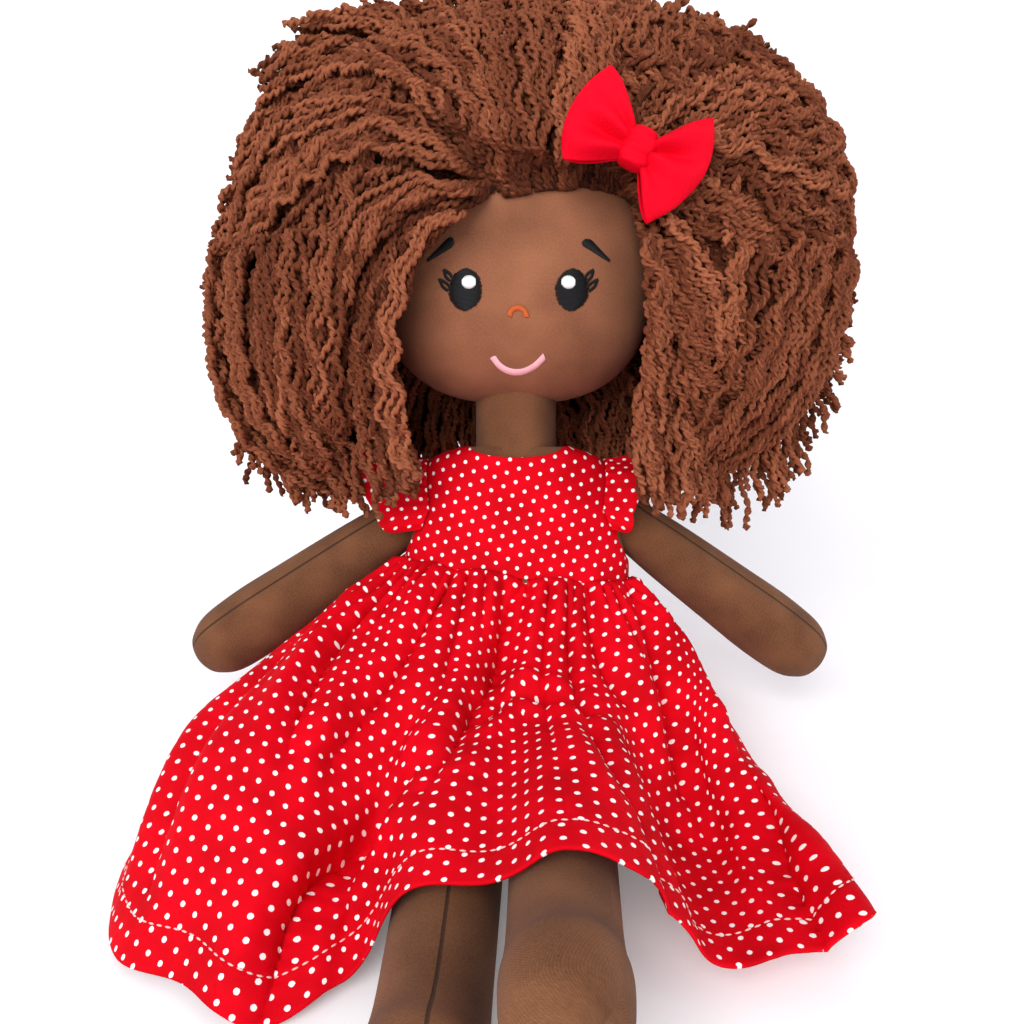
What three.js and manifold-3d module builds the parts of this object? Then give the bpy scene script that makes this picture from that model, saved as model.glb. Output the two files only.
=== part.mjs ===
// A seated rag doll with a big head of yarn hair, a gathered spotted dress and a hair bow.
// Millimetres, +Z up. The doll sits on the floor at the origin and faces -Y, with +X to the viewer's right.
// Right and left are the doll's own: its right arm is on the -X side.
import * as THREE from "three";
import { mergeVertices } from "three/addons/utils/BufferGeometryUtils.js";
import Module from "manifold-3d";

const wasm = await Module();
wasm.setup();

// Clearances that the whole doll shares
const gap = 0.35; // between two pieces that touch
const skinWall = 1.2; // the cloth skin of the body, head and limbs
const dressCloth = 1.4; // the dress cotton, with its seam folded in
const overrun = 400; // how far a cutting shape runs past what it cuts
const recline = 10; // degrees that the body leans back

// The stuffed pieces: overall sizes, and sections as shares of them
const torso = { width: 110, depth: 68, height: 142, below: 9, sides: 18, squareness: 2.5 };
const torsoShares = [
  [0.0, 0.7, 0.7],
  [0.06, 0.92, 0.9],
  [0.16, 1.0, 1.0],
  [0.36, 1.0, 0.97],
  [0.62, 1.0, 0.9],
  [0.76, 0.93, 0.84],
  [0.88, 0.85, 0.73],
  [0.955, 0.75, 0.6],
  [1.0, 0.46, 0.56],
];
const neck = { radius: 20.4, pivotHeight: 136, ballStart: 120, top: 171, steps: 4 };
const neckRoom = { headPocket: 171.4, collar: 24.8 };
const head = { width: 134, depth: 94, crown: 288, widest: 231, chin: 163.5, sides: 22, rings: 12 };
const headPower = { outline: 2.7, profile: 2.3, section: 2.5 };
const arm = { root: 12.6, hand: 18, across: 46, height: 112, sides: 12, flatShare: 0.92 };
const armLength = { right: 139, left: 135 }; // from the shoulder's turning point to the tip
const socket = { sides: 20, rings: 14 }; // the round hollows that the arms and neck turn in
const armDroop = { right: 34, left: 36.5 }; // degrees below level
// Each row: along the arm, and how much of the root's and of the hand's radius the arm has there
const armShares = [
  [-0.079, 0.5, 0.0],
  [-0.053, 0.8, 0.0],
  [0.0, 1.0, 0.0],
  [0.1, 0.92, 0.08],
  [0.28, 0.55, 0.45],
  [0.55, 0.2, 0.8],
  [0.76, 0.0, 1.0],
  [0.88, 0.0, 0.95],
  [0.96, 0.0, 0.7],
  [1.0, 0.0, 0.32],
];
const leg = { width: 39, height: 38, length: 194, sides: 14, rootEnd: 2.2 };
const hip = { across: 21, forward: 31, height: 6 };
const legSwing = { down: 75, steps: 4, spare: 0.25 }; // degrees from sitting towards straight
const legLift = { right: 0.4, left: 7.8 }; // degrees that the leg rises towards the foot
const legTurn = { right: -1.2, left: 3.2 }; // degrees that the leg turns in towards the middle
// Each row: along the leg, half width, half height and rise of the middle, as shares
const legShares = [
  [-0.016, 0.84, 0.11, 0.0],
  [0.0, 0.88, 0.175, 0.0],
  [0.035, 0.95, 0.32, 0.04],
  [0.08, 0.99, 0.62, 0.2],
  [0.19, 1.0, 0.98, 0.68],
  [0.42, 0.95, 0.96, 0.66],
  [0.63, 0.89, 0.9, 0.58],
  [0.79, 0.85, 0.86, 0.54],
  [0.85, 0.86, 0.93, 0.6],
  [0.91, 0.88, 1.06, 0.74],
  [0.96, 0.82, 0.97, 0.72],
  [0.985, 0.62, 0.72, 0.7],
  [1.0, 0.3, 0.36, 0.68],
];

// The face, stitched as raised pads: places from the middle of the head's front
const thread = 0.7; // how far the stitching stands up
const face = { eyeAcross: 23.3, eyeHeight: 210.3, middle: 0.9 };
const eye = { width: 13.8, height: 18, sides: 14 };
const highlight = { width: 5.6, height: 5.8, inward: 1.7, above: 3.0, sides: 8 };
const brow = { span: 10.5, height: 227.5, across: 34.6, rise: 8.2, thick: 3.3, thin: 1.2 };
const nose = { span: 8.4, height: 198.6, rise: 4.0, wide: 1.9 };
const mouth = { span: 23, height: 182.2, drop: 7.6, wide: 2.3 };
const strokeSteps = 8;

// The yarn hair: one rounded mass, parted into six sewn bunches
const hair = { width: 312, height: 242, depth: 182, middle: 9, centreHeight: 233, back: 27, lean: 17 };
const hairLobes = { around: 11, depthShare: 0.035, sides: 34, rings: 16 };
const hairPower = { upper: 2.2, lower: 3.2 };
const hairParts = { across: 10, behind: 12, crown: 270 };
const faceWindow = { halfWidth: 87, top: 261, jaw: 152, neckHalf: 43, bottom: 95, behind: 4 };

// The hair bow
const bow = { loop: 23, width: 36, depth: 12, sides: 12, tilt: 28 };
const bowPlace = { across: 48.3, height: 261, forward: 64.6 };
const bowKnot = { width: 13, height: 15, depth: 12, sides: 12, rings: 8 };
const bowLoopShares = [
  [0.0, 0.26, 0.5],
  [0.3, 0.62, 0.85],
  [0.7, 1.0, 1.0],
  [0.92, 0.9, 0.62],
  [1.0, 0.72, 0.24],
];

// The dress
const bodice = { waist: 82.5, waistTilt: 6, shoulder: 146 };
const neckline = { halfWidth: 24.5, front: 137, round: 9 };
const armhole = { inner: 12.5, start: 36, outer: 29.4, end: 60, reach: 34 };
const sleeve = { start: 41.5, upperRise: 2.5, lowerRise: 10, radius: 21.6, radiusRise: 1.4 };
const sleeveHem = { half: 118, fadePower: 0.3 }; // degrees round the arm each way from its top
const flutter = { flare: 4, droop: 2, ruffle: 1.5, waves: 7 };
const sleeveReach = { right: 34, left: 19 }; // how far each sleeve stands out from its seam
const sleeveSteps = { around: 24, out: 4 };
const sleeveEdgeShare = 0.012; // of the seam, left at each end so that the sheet keeps an edge
const button = { radius: 4.6, thickness: 2, rimShare: 0.72, dishShare: 0.55, sides: 16 };
const buttonHeights = { upper: 126, lower: 102 };
const placketHalf = 0.2; // half the slit between the two back panels
const skirt = { spread: 150, reach: 171, rise: 90 };
const skirtSteps = { front: 40, down: 10, back: 24, downBack: 8 };
const gathers = { depth: 1.3, startShare: 0.1, fadeShare: 0.45 };
// The skirt's folds from one side seam round to the other. Each row holds three places below the
// waist, at one third and two thirds of the way down and at the hem: across, forward and up.
const frontFoldShares = [
  [[-0.57, -0.02, 0.5], [-0.82, 0.14, 0.25], [-1.0, 0.36, 0.02]],
  [[-0.66, 0.15, 0.67], [-0.89, 0.39, 0.42], [-1.0, 0.65, 0.02]],
  [[-0.62, 0.25, 0.73], [-0.81, 0.56, 0.49], [-0.87, 0.88, 0.02]],
  [[-0.54, 0.32, 0.73], [-0.68, 0.63, 0.58], [-0.69, 0.96, 0.06]],
  [[-0.43, 0.37, 0.7], [-0.52, 0.7, 0.42], [-0.52, 1.03, 0.02]],
  [[-0.3, 0.4, 0.66], [-0.37, 0.7, 0.18], [-0.36, 0.96, 0.06]],
  [[-0.17, 0.35, 0.6], [-0.2, 0.68, 0.5], [-0.22, 0.95, 0.42]],
  [[-0.04, 0.3, 0.55], [-0.05, 0.66, 0.5], [-0.05, 0.97, 0.5]],
  [[0.08, 0.33, 0.55], [0.09, 0.66, 0.6], [0.09, 0.99, 0.64]],
  [[0.2, 0.33, 0.55], [0.23, 0.64, 0.54], [0.24, 0.98, 0.51]],
  [[0.32, 0.29, 0.53], [0.38, 0.6, 0.16], [0.4, 0.98, 0.19]],
  [[0.44, 0.2, 0.53], [0.53, 0.54, 0.1], [0.56, 0.97, 0.19]],
  [[0.53, 0.08, 0.55], [0.63, 0.47, 0.3], [0.71, 0.96, 0.33]],
  [[0.54, -0.04, 0.46], [0.67, 0.33, 0.12], [0.75, 0.69, 0.03]],
  [[0.54, -0.12, 0.42], [0.66, 0.11, 0.09], [0.73, 0.35, 0.02]],
];
const backFoldShares = [
  [[0.54, -0.12, 0.42], [0.66, 0.11, 0.09], [0.73, 0.35, 0.02]],
  [[0.51, -0.22, 0.4], [0.65, -0.12, 0.09], [0.71, 0.03, 0.02]],
  [[0.43, -0.34, 0.38], [0.6, -0.36, 0.09], [0.67, -0.3, 0.02]],
  [[0.29, -0.42, 0.38], [0.41, -0.54, 0.11], [0.47, -0.61, 0.02]],
  [[0.09, -0.44, 0.38], [0.13, -0.63, 0.11], [0.15, -0.75, 0.02]],
  [[-0.11, -0.44, 0.38], [-0.17, -0.62, 0.11], [-0.23, -0.74, 0.02]],
  [[-0.31, -0.39, 0.4], [-0.47, -0.54, 0.11], [-0.57, -0.63, 0.02]],
  [[-0.44, -0.31, 0.4], [-0.66, -0.35, 0.13], [-0.83, -0.38, 0.02]],
  [[-0.52, -0.18, 0.44], [-0.78, -0.12, 0.16], [-0.97, -0.02, 0.02]],
  [[-0.57, -0.02, 0.5], [-0.82, 0.14, 0.25], [-1.0, 0.36, 0.02]],
];

const colours = {
  skin: 0x6b4a33,
  filling: 0xf1efe9,
  thread: 0x1f2124,
  white: 0xf5f5f2,
  rust: 0xb4502a,
  pink: 0xf59aa3,
  yarn: 0x7b4a33,
  red: 0xe8001c,
  bowRed: 0xff0032,
};

const degrees = THREE.MathUtils.degToRad;

function matte(colour) {
  return new THREE.MeshStandardMaterial({ color: colour, roughness: 0.9, metalness: 0 });
}

function piece(name, geometry, colour) {
  const mesh = new THREE.Mesh(geometry, matte(colour));
  mesh.name = name;
  return mesh;
}

// A closed surface through rings of points that all run the same way round
function loft(rings) {
  const around = rings[0].length;
  const points = rings.flat();
  const faces = [];
  for (let i = 0; i + 1 < rings.length; i++) {
    for (let j = 0; j < around; j++) {
      const a = i * around + j;
      const b = i * around + ((j + 1) % around);
      faces.push(a, b, b + around, a, b + around, a + around);
    }
  }
  const last = (rings.length - 1) * around;
  const foot = points.push(middleOf(rings[0])) - 1;
  const crown = points.push(middleOf(rings[rings.length - 1])) - 1;
  for (let j = 0; j < around; j++) {
    const next = (j + 1) % around;
    faces.push(foot, next, j);
    faces.push(crown, last + j, last + next);
  }
  return new THREE.BufferGeometry().setFromPoints(points).setIndex(faces);
}

function middleOf(ring) {
  const sum = new THREE.Vector3();
  ring.forEach((point) => sum.add(point));
  return sum.divideScalar(ring.length);
}

// One ring at a height: half width, half depth, and how square it is
function ring(height, halfWidth, halfDepth, sides, power, shift = 0) {
  const points = [];
  for (let j = 0; j < sides; j++) {
    const angle = (2 * Math.PI * j) / sides;
    const c = Math.cos(angle);
    const s = Math.sin(angle);
    const x = halfWidth * Math.sign(c) * Math.abs(c) ** (2 / power);
    const y = halfDepth * Math.sign(s) * Math.abs(s) ** (2 / power);
    points.push(new THREE.Vector3(x, y + shift, height));
  }
  return points;
}

// The rings of a limb run from its root; a closed surface starts at the tip
function fromTip(rings) {
  return rings.map((points) => points.slice().reverse()).reverse();
}

// A cloth skin: closed at its first ring, open at its last
function skinOf(outer, inner) {
  return loft([...outer, ...inner.slice().reverse()]);
}

function solid(geometry) {
  const bare = geometry.clone();
  bare.deleteAttribute("normal");
  bare.deleteAttribute("uv");
  const merged = mergeVertices(bare, 1e-4);
  return new wasm.Manifold(
    new wasm.Mesh({
      numProp: 3,
      vertProperties: new Float32Array(merged.attributes.position.array),
      triVerts: new Uint32Array(merged.index.array),
    }),
  );
}

function geometryOf(shape) {
  const mesh = shape.getMesh();
  return new THREE.BufferGeometry()
    .setAttribute("position", new THREE.BufferAttribute(new Float32Array(mesh.vertProperties), 3))
    .setIndex(new THREE.BufferAttribute(new Uint32Array(mesh.triVerts), 1));
}

function cut(geometry, cutters) {
  const tools = cutters.map(solid);
  return geometryOf(tools.reduce((left, tool) => left.subtract(tool), solid(geometry)));
}

function box(from, to) {
  const size = to.clone().sub(from);
  const middle = from.clone().add(to).divideScalar(2);
  return new THREE.BoxGeometry(size.x, size.y, size.z).translate(middle.x, middle.y, middle.z);
}

function vector(x, y, z) {
  return new THREE.Vector3(x, y, z);
}

// The upper body leans back: from its own frame to the floor's
function leanBack(point) {
  return point.clone().applyAxisAngle(vector(1, 0, 0), -degrees(recline));
}

// Everything under a height above the floor, in the frame of a group that is turned at a place
function floorCutter(place, turn, height) {
  const slab = box(vector(-overrun, -overrun, -overrun), vector(overrun, overrun, height));
  const frame = new THREE.Matrix4().compose(place, turn, vector(1, 1, 1));
  return slab.applyMatrix4(frame.invert());
}

const leanTurn = new THREE.Quaternion().setFromAxisAngle(vector(1, 0, 0), -degrees(recline));

// Torso

// The torso's sections, drawn from below the seat upwards
function torsoRings(grow) {
  const full = torso.height + torso.below;
  return torsoShares.map(([heightShare, widthShare, depthShare]) =>
    ring(
      heightShare * full - torso.below,
      (widthShare * torso.width) / 2 + grow,
      (depthShare * torso.depth) / 2 + grow,
      torso.sides,
      torso.squareness,
    ),
  );
}

// Half the torso's width and depth at a height
function torsoHalvesAt(height) {
  const share = (height + torso.below) / (torso.height + torso.below);
  const upper = torsoShares.findIndex((row) => row[0] >= share);
  const low = torsoShares[upper - 1];
  const high = torsoShares[upper];
  const part = (share - low[0]) / (high[0] - low[0]);
  const between = (column) => low[column] + part * (high[column] - low[column]);
  return { width: (between(1) * torso.width) / 2, depth: (between(2) * torso.depth) / 2 };
}

// A round hollow: its flats stand clear of a ball of the given radius
function hollow(radius, place) {
  const flats = Math.cos(Math.PI / socket.sides) * Math.cos(Math.PI / (2 * socket.rings));
  const round = new THREE.SphereGeometry(radius / flats, socket.sides, socket.rings);
  return round.translate(place.x, place.y, place.z);
}

// The hole that an arm turns in: narrow inside the shoulder, wider outside it
function armholeCutter(side, room) {
  const profile = [
    new THREE.Vector2(0, armhole.start),
    new THREE.Vector2(armhole.inner + room, armhole.start),
    new THREE.Vector2(armhole.outer + room, armhole.end),
    new THREE.Vector2(armhole.outer + room, armhole.end + armhole.reach),
    new THREE.Vector2(0, armhole.end + armhole.reach),
  ];
  const lathe = new THREE.LatheGeometry(profile, torso.sides);
  return lathe.rotateZ(-side * Math.PI / 2).translate(0, 0, arm.height);
}

// Where the flat sewn edge of a leg turns at the front of the seat
function hipPlace(side) {
  return vector(side * hip.across, -hip.forward, hip.height);
}

function legPlaced(geometry, side, name, swing) {
  const turn = new THREE.Euler(-degrees(legLift[name]), 0, -side * degrees(legTurn[name]), "ZXY");
  geometry.applyQuaternion(new THREE.Quaternion().setFromEuler(turn));
  const at = hipPlace(side);
  return geometry.rotateX(degrees(swing)).translate(at.x, at.y, at.z);
}

// The room a leg takes in the body as it swings down from sitting to straight
function hipCutters(side, name) {
  const cutters = [];
  for (let i = 0; i <= legSwing.steps; i++) {
    const room = loft(fromTip(legRings(gap + legSwing.spare)));
    legPlaced(room, side, name, (legSwing.down * i) / legSwing.steps);
    cutters.push(room.applyQuaternion(leanTurn.clone().invert()));
  }
  return cutters;
}

// The collar of the body opens upwards so that the neck can nod
function collarCutter() {
  const height = torso.height - neck.pivotHeight + gap;
  const cone = new THREE.CylinderGeometry(neckRoom.collar, neck.radius + gap, height, torso.sides);
  return cone.rotateX(Math.PI / 2).translate(0, 0, neck.pivotHeight + height / 2);
}

const shoulderRight = vector(-arm.across, 0, arm.height);
const shoulderLeft = vector(arm.across, 0, arm.height);
const neckPivot = vector(0, 0, neck.pivotHeight);
const torsoCutters = [
  armholeCutter(-1, 0),
  armholeCutter(1, 0),
  hollow(arm.root + gap, shoulderRight),
  hollow(arm.root + gap, shoulderLeft),
  hollow(neck.radius + gap, neckPivot),
  collarCutter(),
  ...hipCutters(-1, "right"),
  ...hipCutters(1, "left"),
];

function torsoSolid(inset) {
  return solid(cut(loft(torsoRings(-inset)), [floorCutter(vector(0, 0, 0), leanTurn, inset)]));
}

function makeTorso() {
  const skin = torsoSolid(0).subtract(torsoSolid(skinWall));
  const filling = torsoSolid(skinWall + gap);
  const tools = torsoCutters.map(solid);
  const shaped = (whole) => geometryOf(tools.reduce((left, tool) => left.subtract(tool), whole));
  return [
    piece("torso_skin", shaped(skin), colours.skin),
    piece("torso_filling", shaped(filling), colours.filling),
  ];
}

// Neck

// The side of the neck from its foot up: part of a ball about the pivot, then straight
function neckSide(radius) {
  const start = Math.asin((neck.ballStart - neck.pivotHeight) / radius);
  const points = [];
  for (let i = 0; i <= neck.steps; i++) {
    const angle = start * (1 - i / neck.steps);
    points.push(new THREE.Vector2(radius * Math.cos(angle), neck.pivotHeight + radius * Math.sin(angle)));
  }
  points.push(new THREE.Vector2(radius, neck.top));
  return points;
}

function neckGeometry(outside, inside) {
  const profile = [...outside, ...inside.slice().reverse(), outside[0]];
  return new THREE.LatheGeometry(profile, torso.sides).rotateX(Math.PI / 2);
}

function makeNeck() {
  const axis = [new THREE.Vector2(0, neck.ballStart), new THREE.Vector2(0, neck.top)];
  const skin = neckGeometry(neckSide(neck.radius), neckSide(neck.radius - skinWall));
  const filling = neckGeometry(neckSide(neck.radius - skinWall - gap), axis);
  return [piece("neck_skin", skin, colours.skin), piece("neck_filling", filling, colours.filling)];
}

// Head

function headHalfHeight(height) {
  return height > head.widest ? head.crown - head.widest : head.widest - head.chin;
}

// How much of the full width and depth is left at a height
function headShare(height, power) {
  const rise = Math.min(1, Math.abs(height - head.widest) / headHalfHeight(height));
  return (1 - rise ** power) ** (1 / power);
}

function headRings(grow) {
  const rings = [];
  for (let i = 0; i <= head.rings; i++) {
    const turn = Math.cos((Math.PI * (i + 0.5)) / (head.rings + 1));
    const reach = (turn > 0 ? head.crown - head.widest : head.widest - head.chin) + grow;
    const height = head.widest + reach * turn;
    const share = Math.abs(turn);
    const width = (1 - share ** headPower.outline) ** (1 / headPower.outline);
    const depth = (1 - share ** headPower.profile) ** (1 / headPower.profile);
    rings.push(
      ring(
        height,
        (head.width / 2 + grow) * width,
        (head.depth / 2 + grow) * depth,
        head.sides,
        headPower.section,
      ),
    );
  }
  return rings;
}

// How far forward the face is at a place across and up
function faceDepth(across, height) {
  const halfWidth = (head.width / 2) * headShare(height, headPower.outline);
  const halfDepth = (head.depth / 2) * headShare(height, headPower.profile);
  const side = Math.min(1, Math.abs(across) / halfWidth);
  return halfDepth * (1 - side ** headPower.section) ** (1 / headPower.section);
}

function neckPocket() {
  const length = neckRoom.headPocket - head.chin + neck.radius;
  const radius = neck.radius + gap;
  const pocket = new THREE.CylinderGeometry(radius, radius, length, torso.sides);
  return pocket.rotateX(Math.PI / 2).translate(0, 0, neckRoom.headPocket - length / 2);
}

function makeHead() {
  const whole = (grow) => solid(loft(headRings(grow).reverse()));
  const skin = whole(0).subtract(whole(-skinWall)).subtract(solid(neckPocket()));
  const filling = whole(-skinWall - gap).subtract(solid(neckPocket()));
  return [
    piece("head_skin", geometryOf(skin), colours.skin),
    piece("head_filling", geometryOf(filling), colours.filling),
  ];
}

// Face

// A raised pad of stitching on the face, with a rounded outline
function facePad(across, height, width, tall, sides, stand) {
  const back = [];
  const front = [];
  for (let j = 0; j < sides; j++) {
    const angle = (2 * Math.PI * j) / sides;
    const x = across + (width / 2) * Math.cos(angle);
    const z = height + (tall / 2) * Math.sin(angle);
    const y = -faceDepth(x, z) - stand;
    back.push(vector(x, y, z));
    front.push(vector(x, y - thread, z));
  }
  return loft([back, front]);
}

// A stroke of stitching along a line on the face: place(share) gives across, height and half width
function faceStroke(place) {
  const rings = [];
  for (let i = 0; i <= strokeSteps; i++) {
    const [x, z, half] = place(i / strokeSteps);
    const y = (up) => -faceDepth(x, z + up) - gap;
    rings.push([
      vector(x, y(-half), z - half),
      vector(x, y(half), z + half),
      vector(x, y(half) - thread, z + half),
      vector(x, y(-half) - thread, z - half),
    ]);
  }
  return loft(rings);
}

function makeEye(side, name) {
  const across = face.middle + side * face.eyeAcross;
  const stand = gap + thread + gap;
  const spot = facePad(
    across - side * highlight.inward,
    face.eyeHeight + highlight.above,
    highlight.width,
    highlight.height,
    highlight.sides,
    stand,
  );
  const browPlace = (share) => [
    face.middle + side * (brow.across + (share - 0.5) * brow.span),
    brow.height + brow.rise * (0.5 - share),
    (brow.thick + share * (brow.thin - brow.thick)) / 2,
  ];
  const browGeometry = side > 0 ? faceStroke(browPlace) : faceStroke((share) => browPlace(1 - share));
  const pad = facePad(across, face.eyeHeight, eye.width, eye.height, eye.sides, gap);
  return [
    piece("eye_" + name, pad, colours.thread),
    piece("eye_highlight_" + name, spot, colours.white),
    piece("eyebrow_" + name, browGeometry, colours.thread),
  ];
}

function makeNoseAndMouth() {
  const arc = (size, bend) => (share) => {
    const turn = 2 * share - 1;
    return [face.middle + (turn * size.span) / 2, size.height + bend * (1 - turn * turn), size.wide / 2];
  };
  return [
    piece("nose", faceStroke(arc(nose, nose.rise)), colours.rust),
    piece("mouth", faceStroke(arc(mouth, -mouth.drop)), colours.pink),
  ];
}

// Arms and legs

function armRings(name, grow) {
  return armShares.map(([alongShare, rootShare, handShare]) => {
    const radius = rootShare * arm.root + handShare * arm.hand + grow;
    return ring(alongShare * (armLength[name] + grow), radius, radius * arm.flatShare, arm.sides, 2);
  });
}

// An arm hangs from its shoulder, drooping outwards; its skin is open at the shoulder
function makeArm(side, name) {
  const rings = (grow) => fromTip(armRings(name, grow));
  const group = new THREE.Group();
  group.add(piece("arm_skin_" + name, skinOf(rings(0), rings(-skinWall)), colours.skin));
  group.add(piece("arm_filling_" + name, loft(rings(-skinWall - gap)), colours.filling));
  group.position.set(side * arm.across, 0, arm.height);
  group.rotation.y = side * degrees(90 + armDroop[name]);
  return group;
}

function legRings(grow) {
  return legShares.map(([alongShare, widthShare, heightShare, riseShare]) => {
    const rise = (riseShare * leg.height) / 2;
    const points = ring(
      alongShare * (leg.length + grow),
      (widthShare * leg.width) / 2 + grow,
      (heightShare * leg.height) / 2 + grow,
      leg.sides,
      2,
    );
    // the ring's height turns into the way forward, and its depth into the way up
    return points.map((p) => vector(p.x, -p.z, p.y + rise));
  });
}

// A leg lies forward from the flat edge sewn to the seat; its skin is open there
function makeLeg(side, name) {
  const group = new THREE.Group();
  group.position.copy(hipPlace(side));
  group.rotation.set(-degrees(legLift[name]), 0, -side * degrees(legTurn[name]), "ZXY");
  const whole = (inset) => {
    const floor = floorCutter(group.position, group.quaternion, inset);
    return solid(cut(loft(fromTip(legRings(-inset))), [floor]));
  };
  const shell = whole(0).subtract(whole(skinWall));
  const rootOpening = box(vector(-overrun, leg.rootEnd, -overrun), vector(overrun, overrun, overrun));
  group.add(piece("leg_skin_" + name, cut(geometryOf(shell), [rootOpening]), colours.skin));
  const core = cut(geometryOf(whole(skinWall + gap)), [rootOpening]);
  group.add(piece("leg_filling_" + name, core, colours.filling));
  return group;
}

// Hair

function hairShape() {
  const rings = [];
  for (let i = 0; i <= hairLobes.rings; i++) {
    const turn = Math.cos((Math.PI * (i + 0.5)) / (hairLobes.rings + 1));
    const power = turn > 0 ? hairPower.upper : hairPower.lower;
    const share = (1 - Math.abs(turn) ** power) ** (1 / power);
    const points = ring(
      (hair.height / 2) * turn,
      (hair.width / 2) * share,
      (hair.depth / 2) * share,
      hairLobes.sides,
      hairPower.upper,
    );
    points.forEach((p, j) => {
      const around = (2 * Math.PI * j) / hairLobes.sides;
      const wave = Math.cos(hairLobes.around * around) * hairLobes.depthShare;
      p.multiplyScalar(1 + wave);
      p.add(vector(hair.middle + hair.lean * turn, hair.back, hair.centreHeight));
    });
    rings.push(points);
  }
  return loft(rings.reverse());
}

// The open place that the face looks out of, running down past the neck
function faceWindowCutter() {
  const { halfWidth, top, jaw, neckHalf, bottom, behind } = faceWindow;
  const outline = new THREE.Shape();
  outline.moveTo(-neckHalf, bottom);
  outline.lineTo(neckHalf, bottom);
  outline.lineTo(neckHalf, jaw);
  outline.bezierCurveTo(halfWidth, jaw, halfWidth, top, 0, top);
  outline.bezierCurveTo(-halfWidth, top, -halfWidth, jaw, -neckHalf, jaw);
  outline.closePath();
  const prism = new THREE.ExtrudeGeometry(outline, { depth: overrun, bevelEnabled: false, curveSegments: 8 });
  return prism.rotateX(Math.PI / 2).translate(0, behind, 0);
}

function bowFrame() {
  const turn = new THREE.Quaternion().setFromAxisAngle(vector(0, 1, 0), degrees(bow.tilt));
  const place = vector(bowPlace.across, -bowPlace.forward, bowPlace.height);
  return new THREE.Matrix4().compose(place, turn, vector(1, 1, 1));
}

// Room in the hair for the head, neck, shoulders, sleeves, arms and the knot of the bow
function hairCutters() {
  const arms = [-1, 1].map((side) => {
    const name = side < 0 ? "right" : "left";
    const limb = loft(armRings(name, gap));
    return limb.rotateY(side * degrees(90 + armDroop[name])).translate(side * arm.across, 0, arm.height);
  });
  const throat = new THREE.CylinderGeometry(neck.radius + gap, neck.radius + gap, overrun, torso.sides);
  throat.rotateX(Math.PI / 2).translate(0, 0, head.widest - overrun / 2);
  return [
    faceWindowCutter(),
    loft(headRings(gap).reverse()),
    throat,
    loft(torsoRings(gap + dressCloth + gap + 2 * button.thickness)),
    knotGeometry(gap).applyMatrix4(bowFrame()),
    bowLoop(-1, gap).applyMatrix4(bowFrame()),
    bowLoop(1, gap).applyMatrix4(bowFrame()),
    ...arms,
    sleeveRoom(-1),
    sleeveRoom(1),
  ];
}

function makeHair() {
  const whole = solid(cut(hairShape(), hairCutters()));
  const { across, behind, crown } = hairParts;
  const half = gap / 2;
  const far = overrun;
  const bunches = {
    hair_crown_right: [vector(-far, -far, crown + half), vector(across - half, far, far)],
    hair_crown_left: [vector(across + half, -far, crown + half), vector(far, far, far)],
    hair_side_right: [vector(-far, -far, 0), vector(across - half, behind - half, crown - half)],
    hair_side_left: [vector(across + half, -far, 0), vector(far, behind - half, crown - half)],
    hair_back_right: [vector(-far, behind + half, 0), vector(across - half, far, crown - half)],
    hair_back_left: [vector(across + half, behind + half, 0), vector(far, far, crown - half)],
  };
  return Object.entries(bunches).map(([name, [from, to]]) =>
    piece(name, geometryOf(whole.intersect(solid(box(from, to)))), colours.yarn),
  );
}

// Bow

function knotGeometry(grow) {
  const round = new THREE.SphereGeometry(1, bowKnot.sides, bowKnot.rings);
  return round.scale(bowKnot.width / 2 + grow, bowKnot.depth / 2 + grow, bowKnot.height / 2 + grow);
}

function bowLoop(side, grow) {
  const rings = bowLoopShares.map(([outShare, wideShare, deepShare]) => {
    const out = bowKnot.width / 4 + outShare * bow.loop;
    const halfDepth = (deepShare * bow.depth) / 2 + grow;
    const halfWidth = (wideShare * bow.width) / 2 + grow;
    const points = ring(out * (1 + grow / bow.loop), halfDepth, halfWidth, bow.sides, 2);
    return points.map((p) => vector(p.z, p.x, p.y));
  });
  const loop = loft(rings);
  return side > 0 ? loop : loop.rotateZ(Math.PI);
}

function makeBow() {
  const group = new THREE.Group();
  const room = [knotGeometry(gap)];
  group.add(piece("bow_loop_right", cut(bowLoop(-1, 0), room), colours.bowRed));
  group.add(piece("bow_loop_left", cut(bowLoop(1, 0), room), colours.bowRed));
  group.add(piece("bow_knot", knotGeometry(0), colours.bowRed));
  bowFrame().decompose(group.position, group.quaternion, group.scale);
  return group;
}

// Dress

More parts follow.
